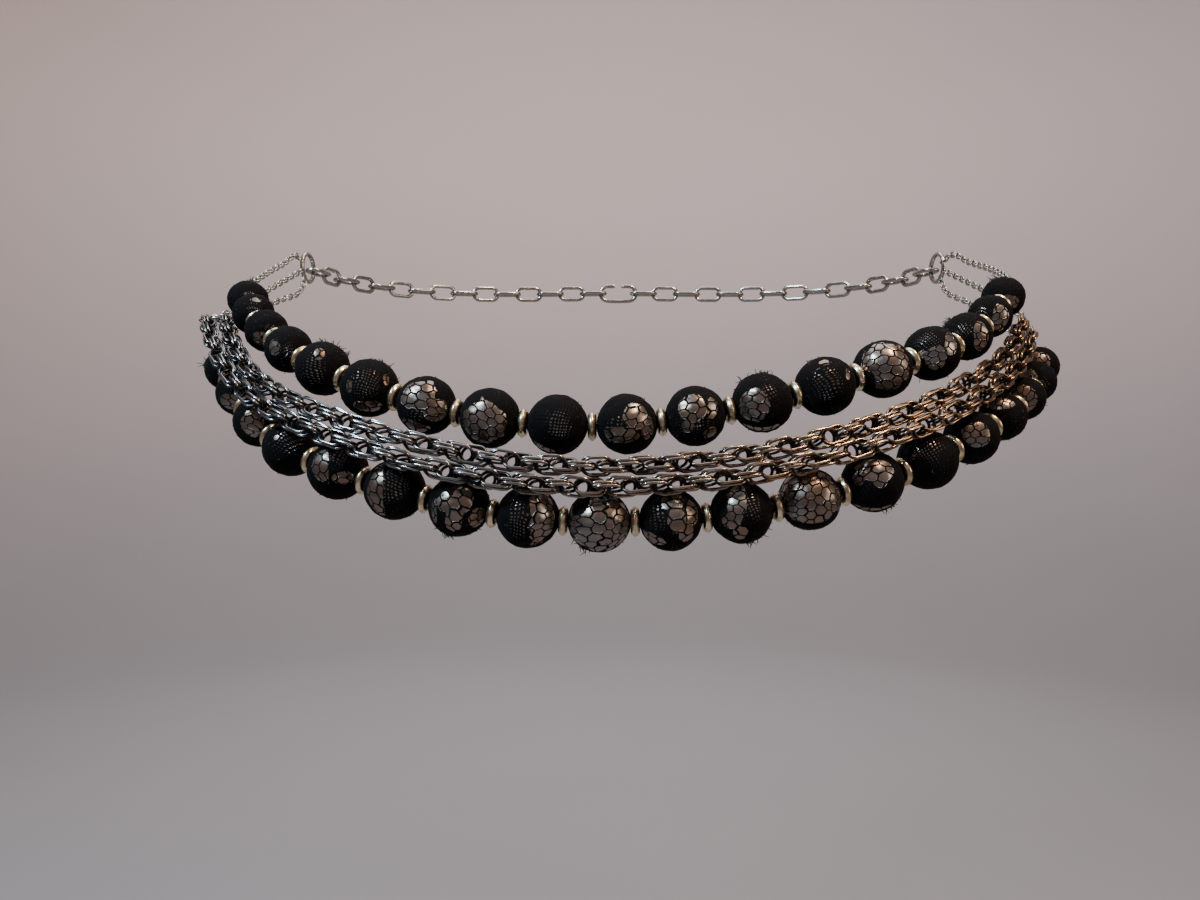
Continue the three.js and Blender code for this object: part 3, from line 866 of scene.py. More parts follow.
def lace_bead_finish(settings):
    """Black lace in three densities over a satin pearl. What shows of the pearl is the cells of the
    open net, and the holes of the fine net, which all but close in the dense lace."""
    finish = Finish("lace_over_pearl")
    lace = finish.node("ShaderNodeUVMap", {"uv_map": "lace"}, {})
    for scale, reach in SWAYS:
        lace = finish.sway(lace, scale, reach)
    x, y = finish.part(lace, 0), finish.part(lace, 1)
    ragged = (finish.noise(420, 4.0) - 0.5) * RAGGEDNESS

    width = NET_THREAD_WIDTH + finish.noise(700) * NET_THREAD_SPREAD
    cell = finish.ease(hexagon_edge(finish, x, y) - width, -NET_THREAD_EDGE, NET_THREAD_EDGE)
    open_net = finish.ease(finish.field("open_net") + ragged, -PATCH_EDGE, PATCH_EDGE)

    ripple_x = 0.5 - 0.5 * finish.math("COSINE", x * (2 * math.pi * FINE_ACROSS))
    ripple_y = 0.5 - 0.5 * finish.math("COSINE", y * (2 * math.pi * FINE_ALONG))
    looseness = finish.ease(finish.field("fine_net") + ragged * FINE_RAGGEDNESS, *FINE_FADE)
    closing = 1.0 - looseness * HOLE_SIZE + (finish.noise(430, 3.0) - 0.5) * HOLE_SPREAD
    hole = finish.ease(ripple_x * ripple_y - closing, *HOLE_EDGE)

    bare = finish.math("MAXIMUM", open_net * cell, (1 - open_net) * hole)
    unveiled = 1 - (1 - open_net) * VEIL_ON_HOLES
    pearl = settings.pearl_colour
    warm, cool = tinted(pearl, WARM_PEARL), tinted(pearl, COOL_PEARL)
    colour = finish.blend(finish.ease(finish.noise(110), 0.4, 0.62), warm, pearl)
    colour = finish.blend(finish.ease(finish.noise(330, 1.0), 0.52, 0.68) * 0.5, colour, cool)
    finish.shade(
        Base_Color=finish.blend(bare * unveiled, settings.lace_colour, colour),
        Metallic=bare * PEARL_METALLIC,
        Roughness=LACE_ROUGHNESS - bare * (PEARL_POLISH - PEARL_POLISH_SPREAD * finish.noise(500)),
        Specular_IOR_Level=LACE_SPECULAR,
    )
    weave = finish.noise(2600, 3.0) * WEAVE_HEIGHT
    finish.bump((1 - bare) * (THREAD_HEIGHT + weave), LACE_BUMP)
    return finish.material


def loose_thread_finish(settings):
    """Dull black thread with a faint change of tone along it."""
    finish = Finish("loose_thread")
    pale = tinted(settings.lace_colour, PALE_THREAD)
    finish.shade(
        Base_Color=finish.blend(finish.noise(900), settings.lace_colour, pale),
        Roughness=0.75 + finish.noise(1400) * 0.2,
    )
    return finish.material


def metal_finish(name, bright, dull, mottle, roughness):
    """Plated metal: noise at the scale given after the colours mixes a bright and a dull colour,
    finer noise adds to the least roughness, and a faint bump breaks up the reflections."""
    finish = Finish(name)
    tarnish = finish.ease(finish.noise(mottle, 4.0), *TARNISH_FADE)
    gloss = finish.noise(mottle * 3, 3.0) * GLOSS_SPREAD
    finish.shade(
        Base_Color=finish.blend(tarnish, bright, dull),
        Metallic=1.0,
        Roughness=roughness + gloss + tarnish * TARNISH_ROUGHNESS,
    )
    finish.bump(finish.noise(mottle * 4, 2.0), *METAL_BUMP)
    return finish.material


def rope_finish(settings):
    """Gunmetal whose tone warms from the left of the belt to the right, which is painted warm
    light, polished where the links reach out and with painted shade in the hollows between them."""
    finish = Finish("rope_chain_metal")
    place = finish.place()
    # The tone warms towards the right as painted warm light on the same gunmetal
    wander = (finish.noise(70) - 0.5) * PAINTED_WARM_LIGHT_SPREAD
    painted_warm_light = finish.ease(finish.part(place, 0) + wander, *PAINTED_WARM_LIGHT_STRETCH)
    bright = finish.blend(painted_warm_light, settings.cool_colour, settings.warm_lit_colour)
    # Painted shade: points near the chain's middle take the dull colour, and points that reach out
    # take the bright colour and less roughness
    dull = finish.blend(painted_warm_light, COOL_PAINTED_SHADE, WARM_PAINTED_SHADE)
    mottle = (finish.noise(600, 3.0) - 0.5) * PAINTED_SHADE_EDGE_SPREAD
    unshaded_and_polished = finish.ease(finish.field("reach") + mottle, *PAINTED_SHADE_FADE)
    finish.shade(
        Base_Color=finish.blend(unshaded_and_polished, dull, bright),
        Metallic=1.0,
        Roughness=ROPE_ROUGHNESS - unshaded_and_polished * ROPE_POLISH + finish.noise(700, 3.0) * ROPE_GLOSS_SPREAD,
    )
    finish.bump(finish.noise(900, 2.0), *ROPE_BUMP)
    return finish.material


def floor_finish(settings):
    """Matt paper whose tone changes from the floor up the wall, a little unevenly."""
    finish = Finish("pale_floor")
    height = finish.part(finish.place(), 2) + (finish.noise(6) - 0.5) * PAPER_UNEVENNESS
    bottom, top = (settings.floor_height + rise for rise in PAPER_FADE)
    share = finish.ease(height, bottom, top)
    colour = finish.blend(share, settings.floor_colour, settings.backdrop_colour)
    finish.shade(Base_Color=colour, Roughness=PAPER_ROUGHNESS)
    return finish.material


# Beads


def facing_frames(centres):
    """Directions of each bead as the front view sees it: towards the viewer, right and up."""
    facing = unit(VIEWPOINT - centres)
    right = unit(np.cross(facing, UP) * -1)
    return facing, right, np.cross(facing, right)


def lace_fields(directions, patches, frame_of_bead, draw):
    """How deep each direction lies in the open and fine patches. A patch is an ellipse on the plane
    that touches the bead at its middle: 1 - sqrt((right/across)² + (up/high)²)."""
    facing, right, up = frame_of_bead
    far = [("open" if draw.random() < FAR_OPEN_SHARE else "fine",
            *draw.uniform(-FAR_REACH, FAR_REACH, 2), *draw.uniform(*FAR_SIZES, 2))
           for _ in range(FAR_PATCHES)]
    fields = {kind: np.full(directions.shape[:-1], -1.0) for kind in ("open", "fine", "dense")}
    for group, side in ((patches, 1), (far, -1)):
        for kind, x, y, across, high in group:
            depth = side * math.sqrt(max(1 - x * x - y * y, 0.0))
            middle = unit(x * right + y * up + depth * facing)
            patch_right = squared_to(right, middle)
            patch_up = np.cross(middle, patch_right) * (1 if side > 0 else -1)
            distance = np.hypot(directions @ patch_right / across, directions @ patch_up / high)
            depth_in = np.where(directions @ middle > 0, 1.0 - distance, -1.0)
            fields[kind] = np.maximum(fields[kind], np.clip(depth_in, -1, 1))
    open_field = np.minimum(fields["open"], -fields["dense"])
    fine_field = np.minimum(fields["fine"], FINE_UNDER_DENSE - fields["dense"])
    return open_field, fine_field


def lumps(directions, draw, rate):
    """A sum of waves over the bead, each cos(k direction + phase) for a random vector k."""
    waves = draw.normal(0, rate, (LUMP_WAVES, 3))
    phases = draw.uniform(0, 2 * np.pi, LUMP_WAVES)
    return np.cos(directions @ waves.T + phases).mean(-1)


def bead_shape(centre, axis, width, facing, settings, draw):
    """A ball round the thread, pleated towards its hole and lumpy: centre + r (-cos a thread +
    sin a (cos w behind + sin w over)). Its last two rows are the wall of the hole."""
    radius = width / 2
    hole = math.asin(BEAD_HOLE_RADIUS / radius)
    polar = np.linspace(hole, np.pi - hole, BEAD_ALONG)[:, None]
    w = turns(BEAD_AROUND)[None]
    behind = squared_to(-facing, axis)
    over = np.cross(axis, behind)
    level = np.cos(w)[..., None] * behind + np.sin(w)[..., None] * over
    directions = -np.cos(polar)[..., None] * axis + np.sin(polar)[..., None] * level
    ends = np.abs(np.cos(polar)) ** PLEAT_FADE
    pleats = PLEAT_DEPTH * ends * np.cos(w * draw.integers(*PLEAT_COUNTS) + draw.uniform(0, 6))
    bulges = sum(share * lumps(directions, draw, rate) for share, rate in LUMPS)
    swell = 1 - settings.lumpiness * (1 - bulges) + pleats
    outer = centre + radius * swell[..., None] * directions
    wall_ends = np.array([1, -1])[:, None, None] * radius * math.cos(hole) * WALL_INSET * axis
    wall = centre + wall_ends + BEAD_HOLE_RADIUS * WALL_NARROWING * level
    points = np.concatenate([outer, wall]).reshape(-1, 3)
    return points, directions, polar[:, 0] * radius


def add_lace_map(mesh, along, cells, pitch, start, lean, flipped):
    """Gives a bead the lace's own map: whole cells round the bead, and arc length over pitch along
    it, with the net leaning by whole cells over a full turn."""
    rows = len(along) + 2
    heights = np.concatenate([along, along[-1:], along[:1], along[:1]]) / pitch
    row, column = np.meshgrid(np.arange(rows), np.arange(BEAD_AROUND), indexing="ij")
    u = np.stack([column, column, column + 1, column + 1], -1) * cells / BEAD_AROUND
    v = heights[np.stack([row, row + 1, row + 1, row], -1)]
    v = v + u * lean * math.sqrt(3) / cells
    pairs = np.stack([u + start[0], v + start[1]], -1).reshape(-1, 4, 2)
    if flipped:
        pairs = pairs[:, ::-1]
    mesh.uv_layers.new(name="lace").data.foreach_set("uv", pairs.astype(np.float32).ravel())


def add_bead(name, index, centre, axis, width, frame_of_bead, settings, finish):
    """One bead with its lace map and the depth of its open and fine patches at each point."""
    draw = np.random.default_rng([ROWS[name]["bead_seed"], index])
    points, directions, along = bead_shape(centre, axis, width, frame_of_bead[0], settings, draw)
    faces = grid_faces(BEAD_ALONG + 2, BEAD_AROUND, True)
    flipped = volume(points - centre, [faces]) < 0
    if flipped:
        faces = faces[:, ::-1]
    node = f"{name}_bead_{index + 1:02d}"
    piece = add_piece(f"lace_{node}", points, [faces], [finish], [node])
    open_field, fine_field = lace_fields(directions, LACE[name][index], frame_of_bead, draw)
    for label, values in (("open_net", open_field), ("fine_net", fine_field)):
        add_field(piece, label, np.concatenate([values, np.full((2, BEAD_AROUND), -1.0)]))
    pitch = settings.net_pitch / MM
    cells = round(math.pi * width / pitch)
    pitch *= draw.uniform(*LACE_STRETCHES)
    start, lean = draw.uniform(0, 1, 2), draw.integers(-3, 4)
    add_lace_map(piece.data, along, cells, pitch, start, lean, flipped)


class BELT_OT_lace_beads(Operator):
    """Adds the lace covered beads of both rows"""

    bl_idname = "belt.lace_beads"
    bl_label = "Lace Covered Beads"

    def execute(self, context):
        settings = context.scene.belt_beads
        finish = lace_bead_finish(settings)
        for name in ROWS:
            widths, bends = row_places(name, settings.front_width / MM)
            centres = midway(bends)
            axes = unit(np.diff(bends, axis=0))
            frames = list(zip(*facing_frames(centres)))
            for index, bead in enumerate(zip(centres, axes, widths, frames)):
                add_bead(name, index, *bead, settings, finish)
        return {"FINISHED"}


class BELT_OT_loose_threads(Operator):
    """Adds the loose ends of lace thread that stand off the beads"""

    bl_idname = "belt.loose_threads"
    bl_label = "Loose Lace Threads"

    def execute(self, context):
        settings = context.scene.belt_beads
        finish = loose_thread_finish(settings)
        for name in ROWS:
            draw = np.random.default_rng(ROWS[name]["thread_seed"])
            widths, bends = row_places(name, settings.front_width / MM)
            centres = midway(bends)
            _, right, up = facing_frames(centres)
            index = np.repeat(np.arange(len(widths)), HAIRS_ON_BEAD)
            roots = unit(draw.normal(0, 1, (len(index), 3)))
            lengths = draw.uniform(*HAIR_LENGTHS, len(index))
            for bead, x, y in TUFTS[name]:
                middle = unit(x * right[bead] + y * up[bead])
                spread = draw.normal(0, TUFT_SPREAD, (HAIRS_IN_TUFT, 3))
                index = np.concatenate([index, np.full(HAIRS_IN_TUFT, bead)])
                roots = np.concatenate([roots, unit(middle + spread)])
                lengths = np.concatenate([lengths, draw.uniform(*TUFT_LENGTHS, HAIRS_IN_TUFT)])
            start = centres[index] + roots * (widths[index] / 2 * HAIR_ROOT)[:, None]
            lean = unit(roots + draw.normal(0, HAIR_SWAY, roots.shape))
            curl = draw.normal(0, HAIR_SWAY, roots.shape)
            t = np.linspace(0, 1, len(HAIR_RADII))[None, :, None]
            size = lengths[:, None, None]
            paths = start[:, None] + size * (t * lean[:, None] + t * t * curl[:, None])
            points, faces = tubes(paths, draw.normal(0, 1, 3), HAIR_RADII, HAIR_SIDES)
            add_piece(f"{name}_loose_threads", points, faces, [finish])
        return {"FINISHED"}


# Strings


def spacer_rings(centres, axes, settings):
    """Ridged rings turned about the thread. The section is a superellipse round its middle. A
    ridge runs round the middle of its outer face and one along each edge, under a shallow knurl."""
    outer, half = settings.radius / MM, settings.thickness / MM / 2
    inner, power = SPACER_INNER_RADIUS, SPACER_SQUARENESS
    s, w = turns(SPACER_SECTION)[:, None], turns(SPACER_AROUND)[None]
    flat = (np.abs(np.cos(s)) ** power + np.abs(np.sin(s)) ** power) ** (-1 / power)
    x = half * flat * np.sin(s) + 0 * w
    outer_face = np.cos(s).clip(0, 1)
    ridges = RIDGE_HEIGHT * np.cos(3 * np.pi * x / half * RIDGE_SPACING) - RIDGE_SINK
    reach = (outer + inner) / 2 + (outer - inner) / 2 * flat * np.cos(s) + outer_face * ridges
    reach = reach + KNURL_DEPTH * outer_face * np.cos(KNURL_COUNT * w + KNURL_SLANT * x)
    local = np.stack([x, reach * np.cos(w), reach * np.sin(w)], -1).reshape(-1, 3)
    across = upright_to(axes)
    basis = np.stack([axes, across, np.cross(axes, across)], 1)
    return copies(centres[:, None] + local @ basis, [grid_faces(*x.shape, True)])


def end_loops(bends):
    """Centres and directions of the wire loops past the first and last spacer."""
    away = unit(np.stack([bends[0] - bends[1], bends[-1] - bends[-2]]))
    centres = bends[[0, -1]] + away * (SPACER_THICKNESS / 2 + LOOP_RADIUS)
    return centres, away, upright_to(away)


class BELT_OT_strings(Operator):
    """Adds each row's thread with its spacer rings and end loops"""

    bl_idname = "belt.strings"
    bl_label = "Strings and Spacer Rings"

    def execute(self, context):
        beads, spacers = context.scene.belt_beads, context.scene.belt_spacers
        bright = spacers.colour
        dull = tinted(bright, WORN_PLATING)
        plating = metal_finish("pale_gold_plating", bright, dull, mottle=500, roughness=0.16)
        thread_finish = loose_thread_finish(beads)
        for name in ROWS:
            _, bends = row_places(name, beads.front_width / MM)
            steps = np.diff(bends, axis=0)
            axes = unit(np.concatenate([steps[:1], steps[1:] + steps[:-1], steps[-1:]]))
            pattern = loop_pattern((0, LOOP_RADIUS), LOOP_WIRE_RADIUS, END_LOOP_DETAIL)
            points, faces, counts = joined([
                spacer_rings(bends, axes, spacers),
                loops(*end_loops(bends), pattern),
                tubes(bends[None], UP, THREAD_RADIUS, THREAD_SIDES),
            ])
            finish_index = np.repeat([0, 0, 1], counts)
            add_piece(f"{name}_string_and_spacers", points, faces, [plating, thread_finish],
                      [f"{name}_string"], finish_index)
        return {"FINISHED"}


# Chains


def rope_ring(angle, side):
    """The jump ring past both rope chains' ends: its centre, the way out of the chains' ends and
    the way from the upper chain to the lower one."""
    ends = [rope_line(strand, np.array(angle, float))[0] for strand in (-1, 1)]
    inner = [rope_line(strand, np.array(angle - side * SLOPE_STEP, float))[0] for strand in (-1, 1)]
    middle = (ends[0] + ends[1]) / 2
    away = unit(middle - (inner[0] + inner[1]) / 2)
    down = squared_to(ends[1] - ends[0], away)
    reach = ROPE_RING_RADIUS + ROPE_RING_WIRE_RADIUS + SEAT
    return middle + away * (reach + ROPE_END_SLANT), away, down


def rope_pairs(strand, settings, draw):
    """Oval links in pairs. The pairs lie at even steps along the chain's line, each turned a
    sixth from the one before, and their links stand side by side, shifted a little along the
    chain. Gives the links, how far out their points reach, and the first and last pair's place,
    direction and side."""
    line, out = rope_line(strand, np.linspace(ROPE_FROM, ROPE_TO, ROPE_LINE_POINTS))
    run = run_of(line)
    count = round(run[-1] / (settings.rope_pitch / MM))
    width = settings.rope_width / MM
    half_link = settings.rope_link_length / MM / 2
    places = np.linspace(half_link - ROPE_OVERRUN, run[-1] - half_link + ROPE_OVERRUN, count)
    centres = at_run(line, run, places)
    along = ways_at_run(line, run, places, ROPE_LINE_SLOPE)
    outs = squared_to(at_run(out, run, places), along)
    downs = np.cross(along, outs)
    steps = (np.arange(count) % ROPE_TURN_STEPS + 0.5) * np.pi / ROPE_TURN_STEPS
    twist = (steps + np.radians(draw.normal(0, ROPE_TWIST_SPREAD, count)))[:, None]
    across = np.cos(twist) * downs + np.sin(twist) * outs
    normal = np.cross(along, across)
    size = (half_link - width / 2, width / 2 - ROPE_WIRE[0])
    pattern = loop_pattern(size, ROPE_WIRE, ROPE_LINK_DETAIL, ROPE_WIRE_SQUARENESS)
    shapes, reaches = [], []
    for layer in (-1, 1):
        tilt = np.radians(draw.normal(ROPE_TILT * layer, ROPE_TILT, count))[:, None]
        lean = np.cos(tilt) * along + np.sin(tilt) * across
        slip = ROPE_SLIP + draw.uniform(-ROPE_SLIP_SPREAD, ROPE_SLIP_SPREAD, count)
        middle = centres + normal * layer * ROPE_LAYER + along * layer * slip[:, None]
        shapes.append(loops(middle, lean, np.cross(normal, lean), pattern))
        reach = np.hypot(pattern[..., 1], pattern[..., 2] + layer * ROPE_LAYER)
        reaches.append(np.tile(reach.ravel(), count))
    return shapes, reaches, [(centres[end], along[end], normal[end]) for end in (0, -1)]


def rope_end_link(ring, centre, along, normal, half_link):
    """The link from a rope chain's last pair through the jump ring. Along points at the ring."""
    start = centre + along * (half_link - END_LINK_START)
    finish = ring + unit(start - ring) * (ROPE_RING_RADIUS - END_LINK_HOLD)
    direction = unit(finish - start)
    flat = np.cross(direction, squared_to(normal, direction))
    half = np.linalg.norm(finish - start) / 2 + END_LINK_OVERRUN
    straight = max(half - END_LINK_RADIUS, END_LINK_LEAST_STRAIGHT)
    pattern = loop_pattern((straight, END_LINK_RADIUS), END_LINK_WIRE, ROPE_END_LINK_DETAIL)
    return loops((start + finish)[None] / 2, direction[None], flat[None], pattern)


def rope_chain(strand, settings, draw):
    """One rope chain, with how far out of its line each point reaches, as a share of its radius."""
    radius = settings.rope_width / MM / 2
    half_link = settings.rope_link_length / MM / 2
    shapes, reaches, ends = rope_pairs(strand, settings, draw)
    for (centre, along, normal), (_, side, angle) in zip(ends, SIDES):
        ring, _, _ = rope_ring(angle, side)
        shapes.append(rope_end_link(ring, centre, along * side, normal, half_link))
        reaches.append(np.full(len(shapes[-1][0]), radius))
    return (*joined(shapes)[:2], np.concatenate(reaches) / radius)


class BELT_OT_rope_chains(Operator):
    """Adds the two rope chains of doubled links"""

    bl_idname = "belt.rope_chains"
    bl_label = "Rope Chains"

    def execute(self, context):
        settings = context.scene.belt_chains
        finish = rope_finish(settings)
        for name, strand in (("upper", -1), ("lower", 1)):
            draw = np.random.default_rng(ROPE_SEED + strand)
            points, faces, reach = rope_chain(strand, settings, draw)
            piece = add_piece(f"{name}_rope_links", points, faces, [finish],
                              [f"{name}_rope_chain"])
            add_field(piece, "reach", reach)
        return {"FINISHED"}


def cable_links(line, length):
    """Oval links along a line, each turned a quarter from the one before. The step from one to the
    next is the length less the two wires where they hold each other."""
    run = run_of(line)
    step = length - 2 * TAIL_LINK_WIRE * 2 * TAIL_LINK_BITE
    count = max(round((run[-1] - length) / step) + 1, 2)
    places = np.linspace(length / 2, run[-1] - length / 2, count)
    along = ways_at_run(line, run, places, TAIL_LINE_SLOPE)
    upright = upright_to(along)
    level = np.cross(along, upright)
    odd = (np.arange(count) % 2)[:, None]
    across = upright * odd + level * (1 - odd)
    size = (length / 2 - TAIL_LINK_WIDTH / 2, TAIL_LINK_WIDTH / 2 - TAIL_LINK_WIRE)
    pattern = loop_pattern(size, TAIL_LINK_WIRE, TAIL_LINK_DETAIL)
    return loops(at_run(line, run, places), along, across, pattern)


def tail_line(start, start_outset, side, above):
    """From the end of a strand to the gather ring: angle, height and outset change evenly, and the
    last stretch runs straight at the ring's middle."""
    centre, back = gather_frame(side)
    turn = math.radians(above)
    seat = GATHER_RING_RADIUS + GATHER_WIRE_RADIUS + SEAT
    approach, end = (
        centre - back * reach * math.cos(turn) + UP * reach * math.sin(turn)
        for reach in (seat + TAIL_APPROACH, GATHER_RING_RADIUS - GATHER_WIRE_RADIUS - TAIL_HOLD)
    )
    share = np.arange(1, TAIL_POINTS) / TAIL_POINTS
    angles = mix(angle_of(start), angle_of(approach), share)
    middles = [
        waist_point(angle, mix(start_outset, GATHER_OUTSET, part), mix(start[2], approach[2], part))
        for angle, part in zip(angles, share)
    ]
    return curve_through([start, *middles, approach, end], TAIL_LINE_POINTS)


class BELT_OT_cable_chains(Operator):
    """Adds the fine chains from the strands' ends to the gather rings"""

    bl_idname = "belt.cable_chains"
    bl_label = "Fine Chains"

    def execute(self, context):
        settings = context.scene.belt_chains
        silver = settings.silver_colour
        finish = metal_finish("fine_chain_silver", silver, DULL_CHAIN, mottle=420, roughness=0.16)
        front_width = context.scene.belt_beads.front_width / MM
        length = settings.tail_link_length / MM
        for side_name, side, rope_end in SIDES:
            starts = {}
            end = 0 if side < 0 else 1
            for row, row_settings in ROWS.items():
                centres, away, _ = end_loops(row_places(row, front_width)[1])
                inner = centres[end] + away[end] * (LOOP_RADIUS - LOOP_WIRE_RADIUS - TAIL_HOLD)
                starts[row] = (inner, row_settings["outset"])
            ring, away, _ = rope_ring(rope_end, side)
            inner = ring + away * (ROPE_RING_RADIUS - ROPE_RING_WIRE_RADIUS - TAIL_HOLD)
            starts["rope"] = (inner, LOWER_ROW_OUTSET / 2)
            for name, step in (("upper", 1), ("rope", 0), ("lower", -1)):
                line = tail_line(*starts[name], side, GATHER_TILT + step * GATHER_SPREAD)
                points, faces = cable_links(line, length)
                add_piece(f"{side_name}_{name}_fine_chain", points, faces, [finish],
                          [f"{side_name}_{name}_tail"])
        return {"FINISHED"}


def closing_links(side):
    """Middles and directions of one half's links, each holding the next, and across alternately
    level and upright."""
    centre, _ = gather_frame(side)
    contact = 2 * LINK_WIRE_RADIUS * math.cos(math.pi / LINK_WIRE_SIDES) - LINK_BITE
    hold = GATHER_RING_RADIUS - GATHER_WIRE_RADIUS - LINK_WIRE_RADIUS - SEAT
    middles = [centre, closing_step(centre, side, hold + LINK_HALF_LENGTH)]
    for _ in range(LINKS_EACH_SIDE):
        middles.append(closing_step(middles[-1], side, 2 * LINK_HALF_LENGTH - contact))
    middles = np.array(middles)
    along = unit(middles[2:] - middles[:-2])
    level = unit(np.cross(along, UP))
    odd = (np.arange(LINKS_EACH_SIDE) % 2)[:, None]
    across = np.where(odd, np.cross(level, along), level)
    return middles[1:-1], along, across


def hook_path(last_links):
    """An open oval of wire in the plane of X and Z, between the last links of both halves, with its
    gap in the middle of the upper side."""
    hold = LINK_HALF_LENGTH - LINK_WIRE_RADIUS - HOOK_WIRE_RADIUS - SEAT
    straight = np.linalg.norm(last_links[1] - last_links[0]) / 2 - hold - HOOK_HALF_WIDTH
    turn = np.linspace(0, np.pi, HOOK_BEND_POINTS)
    bends = [
        np.stack([side * (straight + HOOK_HALF_WIDTH * np.sin(turn)), 0 * turn,
                  side * HOOK_HALF_WIDTH * np.cos(turn)], -1)
        for side in (1, -1)
    ]
    tips = [np.array([[side * HOOK_GAP / 2, 0, HOOK_HALF_WIDTH]]) for side in (1, -1)]
    path = np.concatenate([tips[0], bends[0], bends[1], tips[1]])
    return curve_through(path, HOOK_POINTS) + (last_links[0] + last_links[1]) / 2


class BELT_OT_closing(Operator):
    """Adds the jump rings, gather rings, closing chain and hook"""

    bl_idname = "belt.closing"
    bl_label = "Rings, Closing Chain and Hook"

    def execute(self, context):
        settings = context.scene.belt_chains
        silver = settings.silver_colour
        finish = metal_finish("ring_silver", silver, DULL_RING, mottle=300, roughness=0.13)
        last_links = []
        for side_name, side, rope_end in SIDES:
            ring, away, down = rope_ring(rope_end, side)
            centre, back = gather_frame(side)
            rings = {
                "rope": (ring, away, down, ROPE_RING_RADIUS, ROPE_RING_WIRE_RADIUS),
                "gather": (centre, back, UP, GATHER_RING_RADIUS, GATHER_WIRE_RADIUS),
            }
            for kind, (place, first, second, radius, wire) in rings.items():
                pattern = loop_pattern((0, radius), wire, RING_DETAIL)
                points, faces = loops(place[None], first[None], second[None], pattern)
                add_piece(f"{side_name}_{kind}_wire_ring", points, faces, [finish],
                          [f"{side_name}_{kind}_ring"])
            middles, along, across = closing_links(side)
            size = (LINK_STRAIGHT / 2, LINK_END_RADIUS)
            pattern = loop_pattern(size, LINK_WIRE_RADIUS, CLOSING_LINK_DETAIL)
            points, faces = loops(middles, along, across, pattern)
            add_piece(f"{side_name}_closing_links", points, faces, [finish],
                      [f"{side_name}_closing_chain"])
            last_links.append(middles[-1])
        path = hook_path(last_links)
        index = np.arange(len(path))
        fade = np.clip(np.minimum(index, index[::-1]) / HOOK_TIP_POINTS, 0, 1)
        radii = HOOK_WIRE_RADIUS * np.sqrt(1 - (1 - fade) ** 2 * HOOK_TIP_SLIMMING)
        points, faces = tubes(path[None], BACKWARD, radii, HOOK_SIDES)
        add_piece("closing_wire_hook", points, faces, [finish],
                  ["closing_hook"])
        return {"FINISHED"}


# Stage


def add_light(name, place, size, power, colour, target=(0, 0, 0)):
    """A square soft light that points at its target."""
    light = bpy.data.lights.new(name, "AREA")
    light.shape = "SQUARE"
    light.size = size
    light.energy = power
    light.color = colour
    lamp = bpy.data.objects.new(name, light)
    lamp.location = place
    lamp.rotation_euler = (Vector(target) - Vector(place)).to_track_quat("-Z", "Y").to_euler()
    bpy.context.scene.collection.objects.link(lamp)


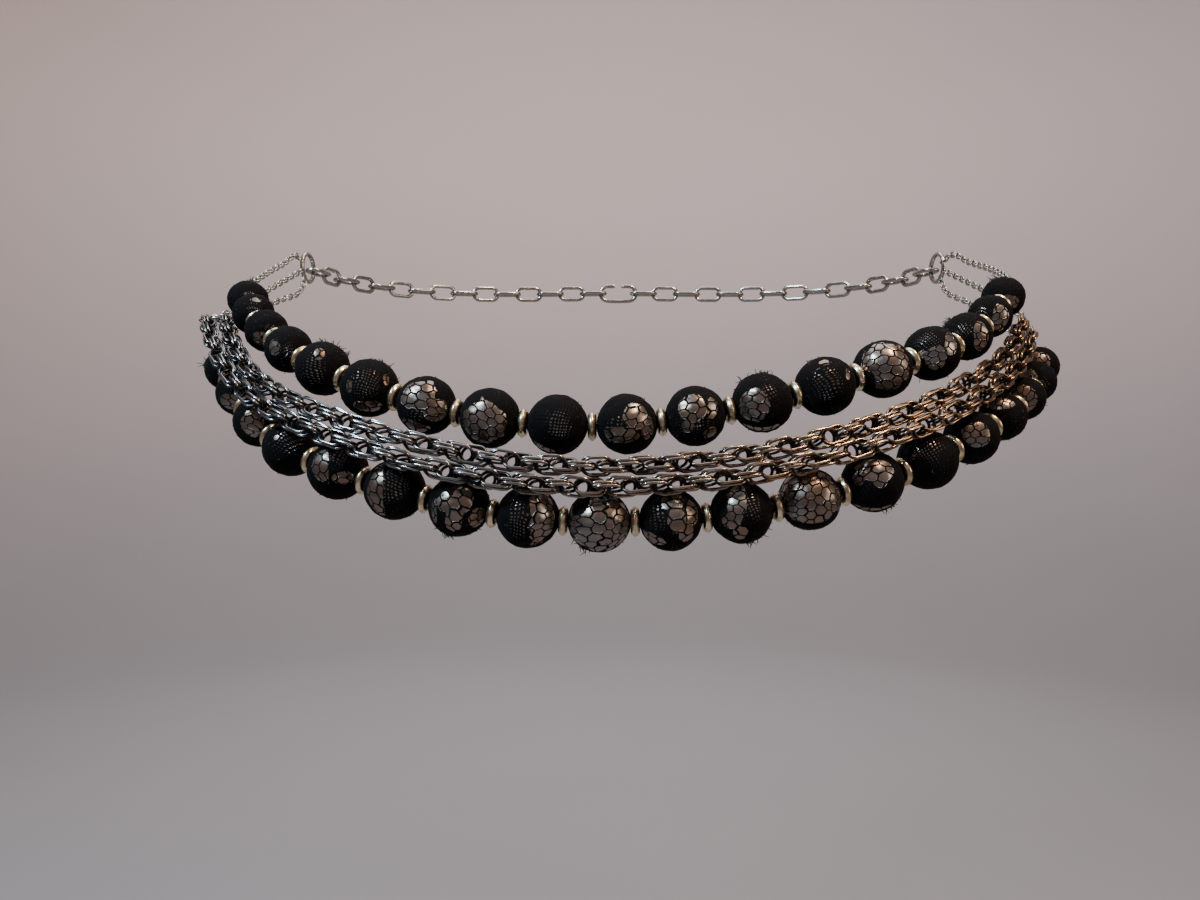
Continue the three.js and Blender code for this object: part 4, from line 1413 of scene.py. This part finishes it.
class BELT_OT_stage(Operator):
    """Adds the floor with its backdrop, the lights and the camera"""

    bl_idname = "belt.stage"
    bl_label = "Floor, Light and Camera"

    def execute(self, context):
        settings = context.scene.belt_stage
        scene = context.scene
        bend = np.linspace(0, np.pi / 2, BEND_POINTS)
        out = FLOOR_RADIUS + BEND_RADIUS * np.sin(bend)
        radius = np.concatenate([[CENTRE_RADIUS], out, [FLOOR_RADIUS + BEND_RADIUS]])[:, None]
        up = BEND_RADIUS - BEND_RADIUS * np.cos(bend)
        rise = np.concatenate([[0], up, [WALL_HEIGHT]])[:, None]
        w = turns(FLOOR_AROUND)[None]
        points = np.stack([radius * np.cos(w), radius * np.sin(w),
                           settings.floor_height + rise + 0 * w], -1)
        faces = grid_faces(len(radius), FLOOR_AROUND, False)[:, ::-1]
        mesh = bpy.data.meshes.new("floor")
        mesh.from_pydata(points.reshape(-1, 3).tolist(), [], faces.tolist())
        mesh.materials.append(floor_finish(settings))
        mesh.shade_smooth()
        floor = bpy.data.objects.new("floor", mesh)
        scene.collection.objects.link(floor)

        set_powers = {"key_light": settings.key_power, "warm_light": settings.warm_power}
        powers = {**FIXED_POWERS, **set_powers}
        for name, light in LIGHTS.items():
            add_light(name, power=powers[name], **light)

        world = bpy.data.worlds.new("soft_surround")
        world.use_nodes = True
        surround = world.node_tree.nodes["Background"]
        surround.inputs["Color"].default_value = SURROUND_COLOUR
        surround.inputs["Strength"].default_value = SURROUND_STRENGTH
        scene.world = world

        lens = bpy.data.cameras.new("camera")
        lens.sensor_width = SENSOR_WIDTH
        lens.lens = FOCAL_LENGTH
        lens.clip_start = NEAREST_SEEN
        camera = bpy.data.objects.new("camera", lens)
        camera.location = VIEWPOINT * MM
        camera.rotation_euler = (math.pi / 2, 0, 0)
        scene.collection.objects.link(camera)
        scene.camera = camera
        return {"FINISHED"}


class BELT_PT_sidebar(Panel):
    """Lists the belt's pieces in the sidebar"""

    bl_label = "Chain Trimmed Belt"
    bl_idname = "BELT_PT_sidebar"
    bl_space_type = "VIEW_3D"
    bl_region_type = "UI"
    bl_category = "Belt"

    def draw(self, context):
        for group in SETTINGS:
            box = self.layout.box()
            values = getattr(context.scene, group)
            for name in values.__annotations__:
                box.prop(values, name)
        for operator in OPERATORS:
            self.layout.operator(operator.bl_idname)


SETTINGS = {
    "belt_beads": BeadSettings,
    "belt_spacers": SpacerSettings,
    "belt_chains": ChainSettings,
    "belt_stage": StageSettings,
}
OPERATORS = (
    BELT_OT_stage,
    BELT_OT_lace_beads,
    BELT_OT_loose_threads,
    BELT_OT_strings,
    BELT_OT_rope_chains,
    BELT_OT_cable_chains,
    BELT_OT_closing,
)


def register():
    for group in (*SETTINGS.values(), *OPERATORS, BELT_PT_sidebar):
        bpy.utils.register_class(group)
    for name, group in SETTINGS.items():
        setattr(bpy.types.Scene, name, PointerProperty(type=group))


def unregister():
    for name in SETTINGS:
        delattr(bpy.types.Scene, name)
    for group in (BELT_PT_sidebar, *OPERATORS, *SETTINGS.values()):
        bpy.utils.unregister_class(group)


def main():
    register()
    for operator in OPERATORS:
        module, name = operator.bl_idname.split(".")
        getattr(getattr(bpy.ops, module), name)()


if __name__ == "__main__":
    main()
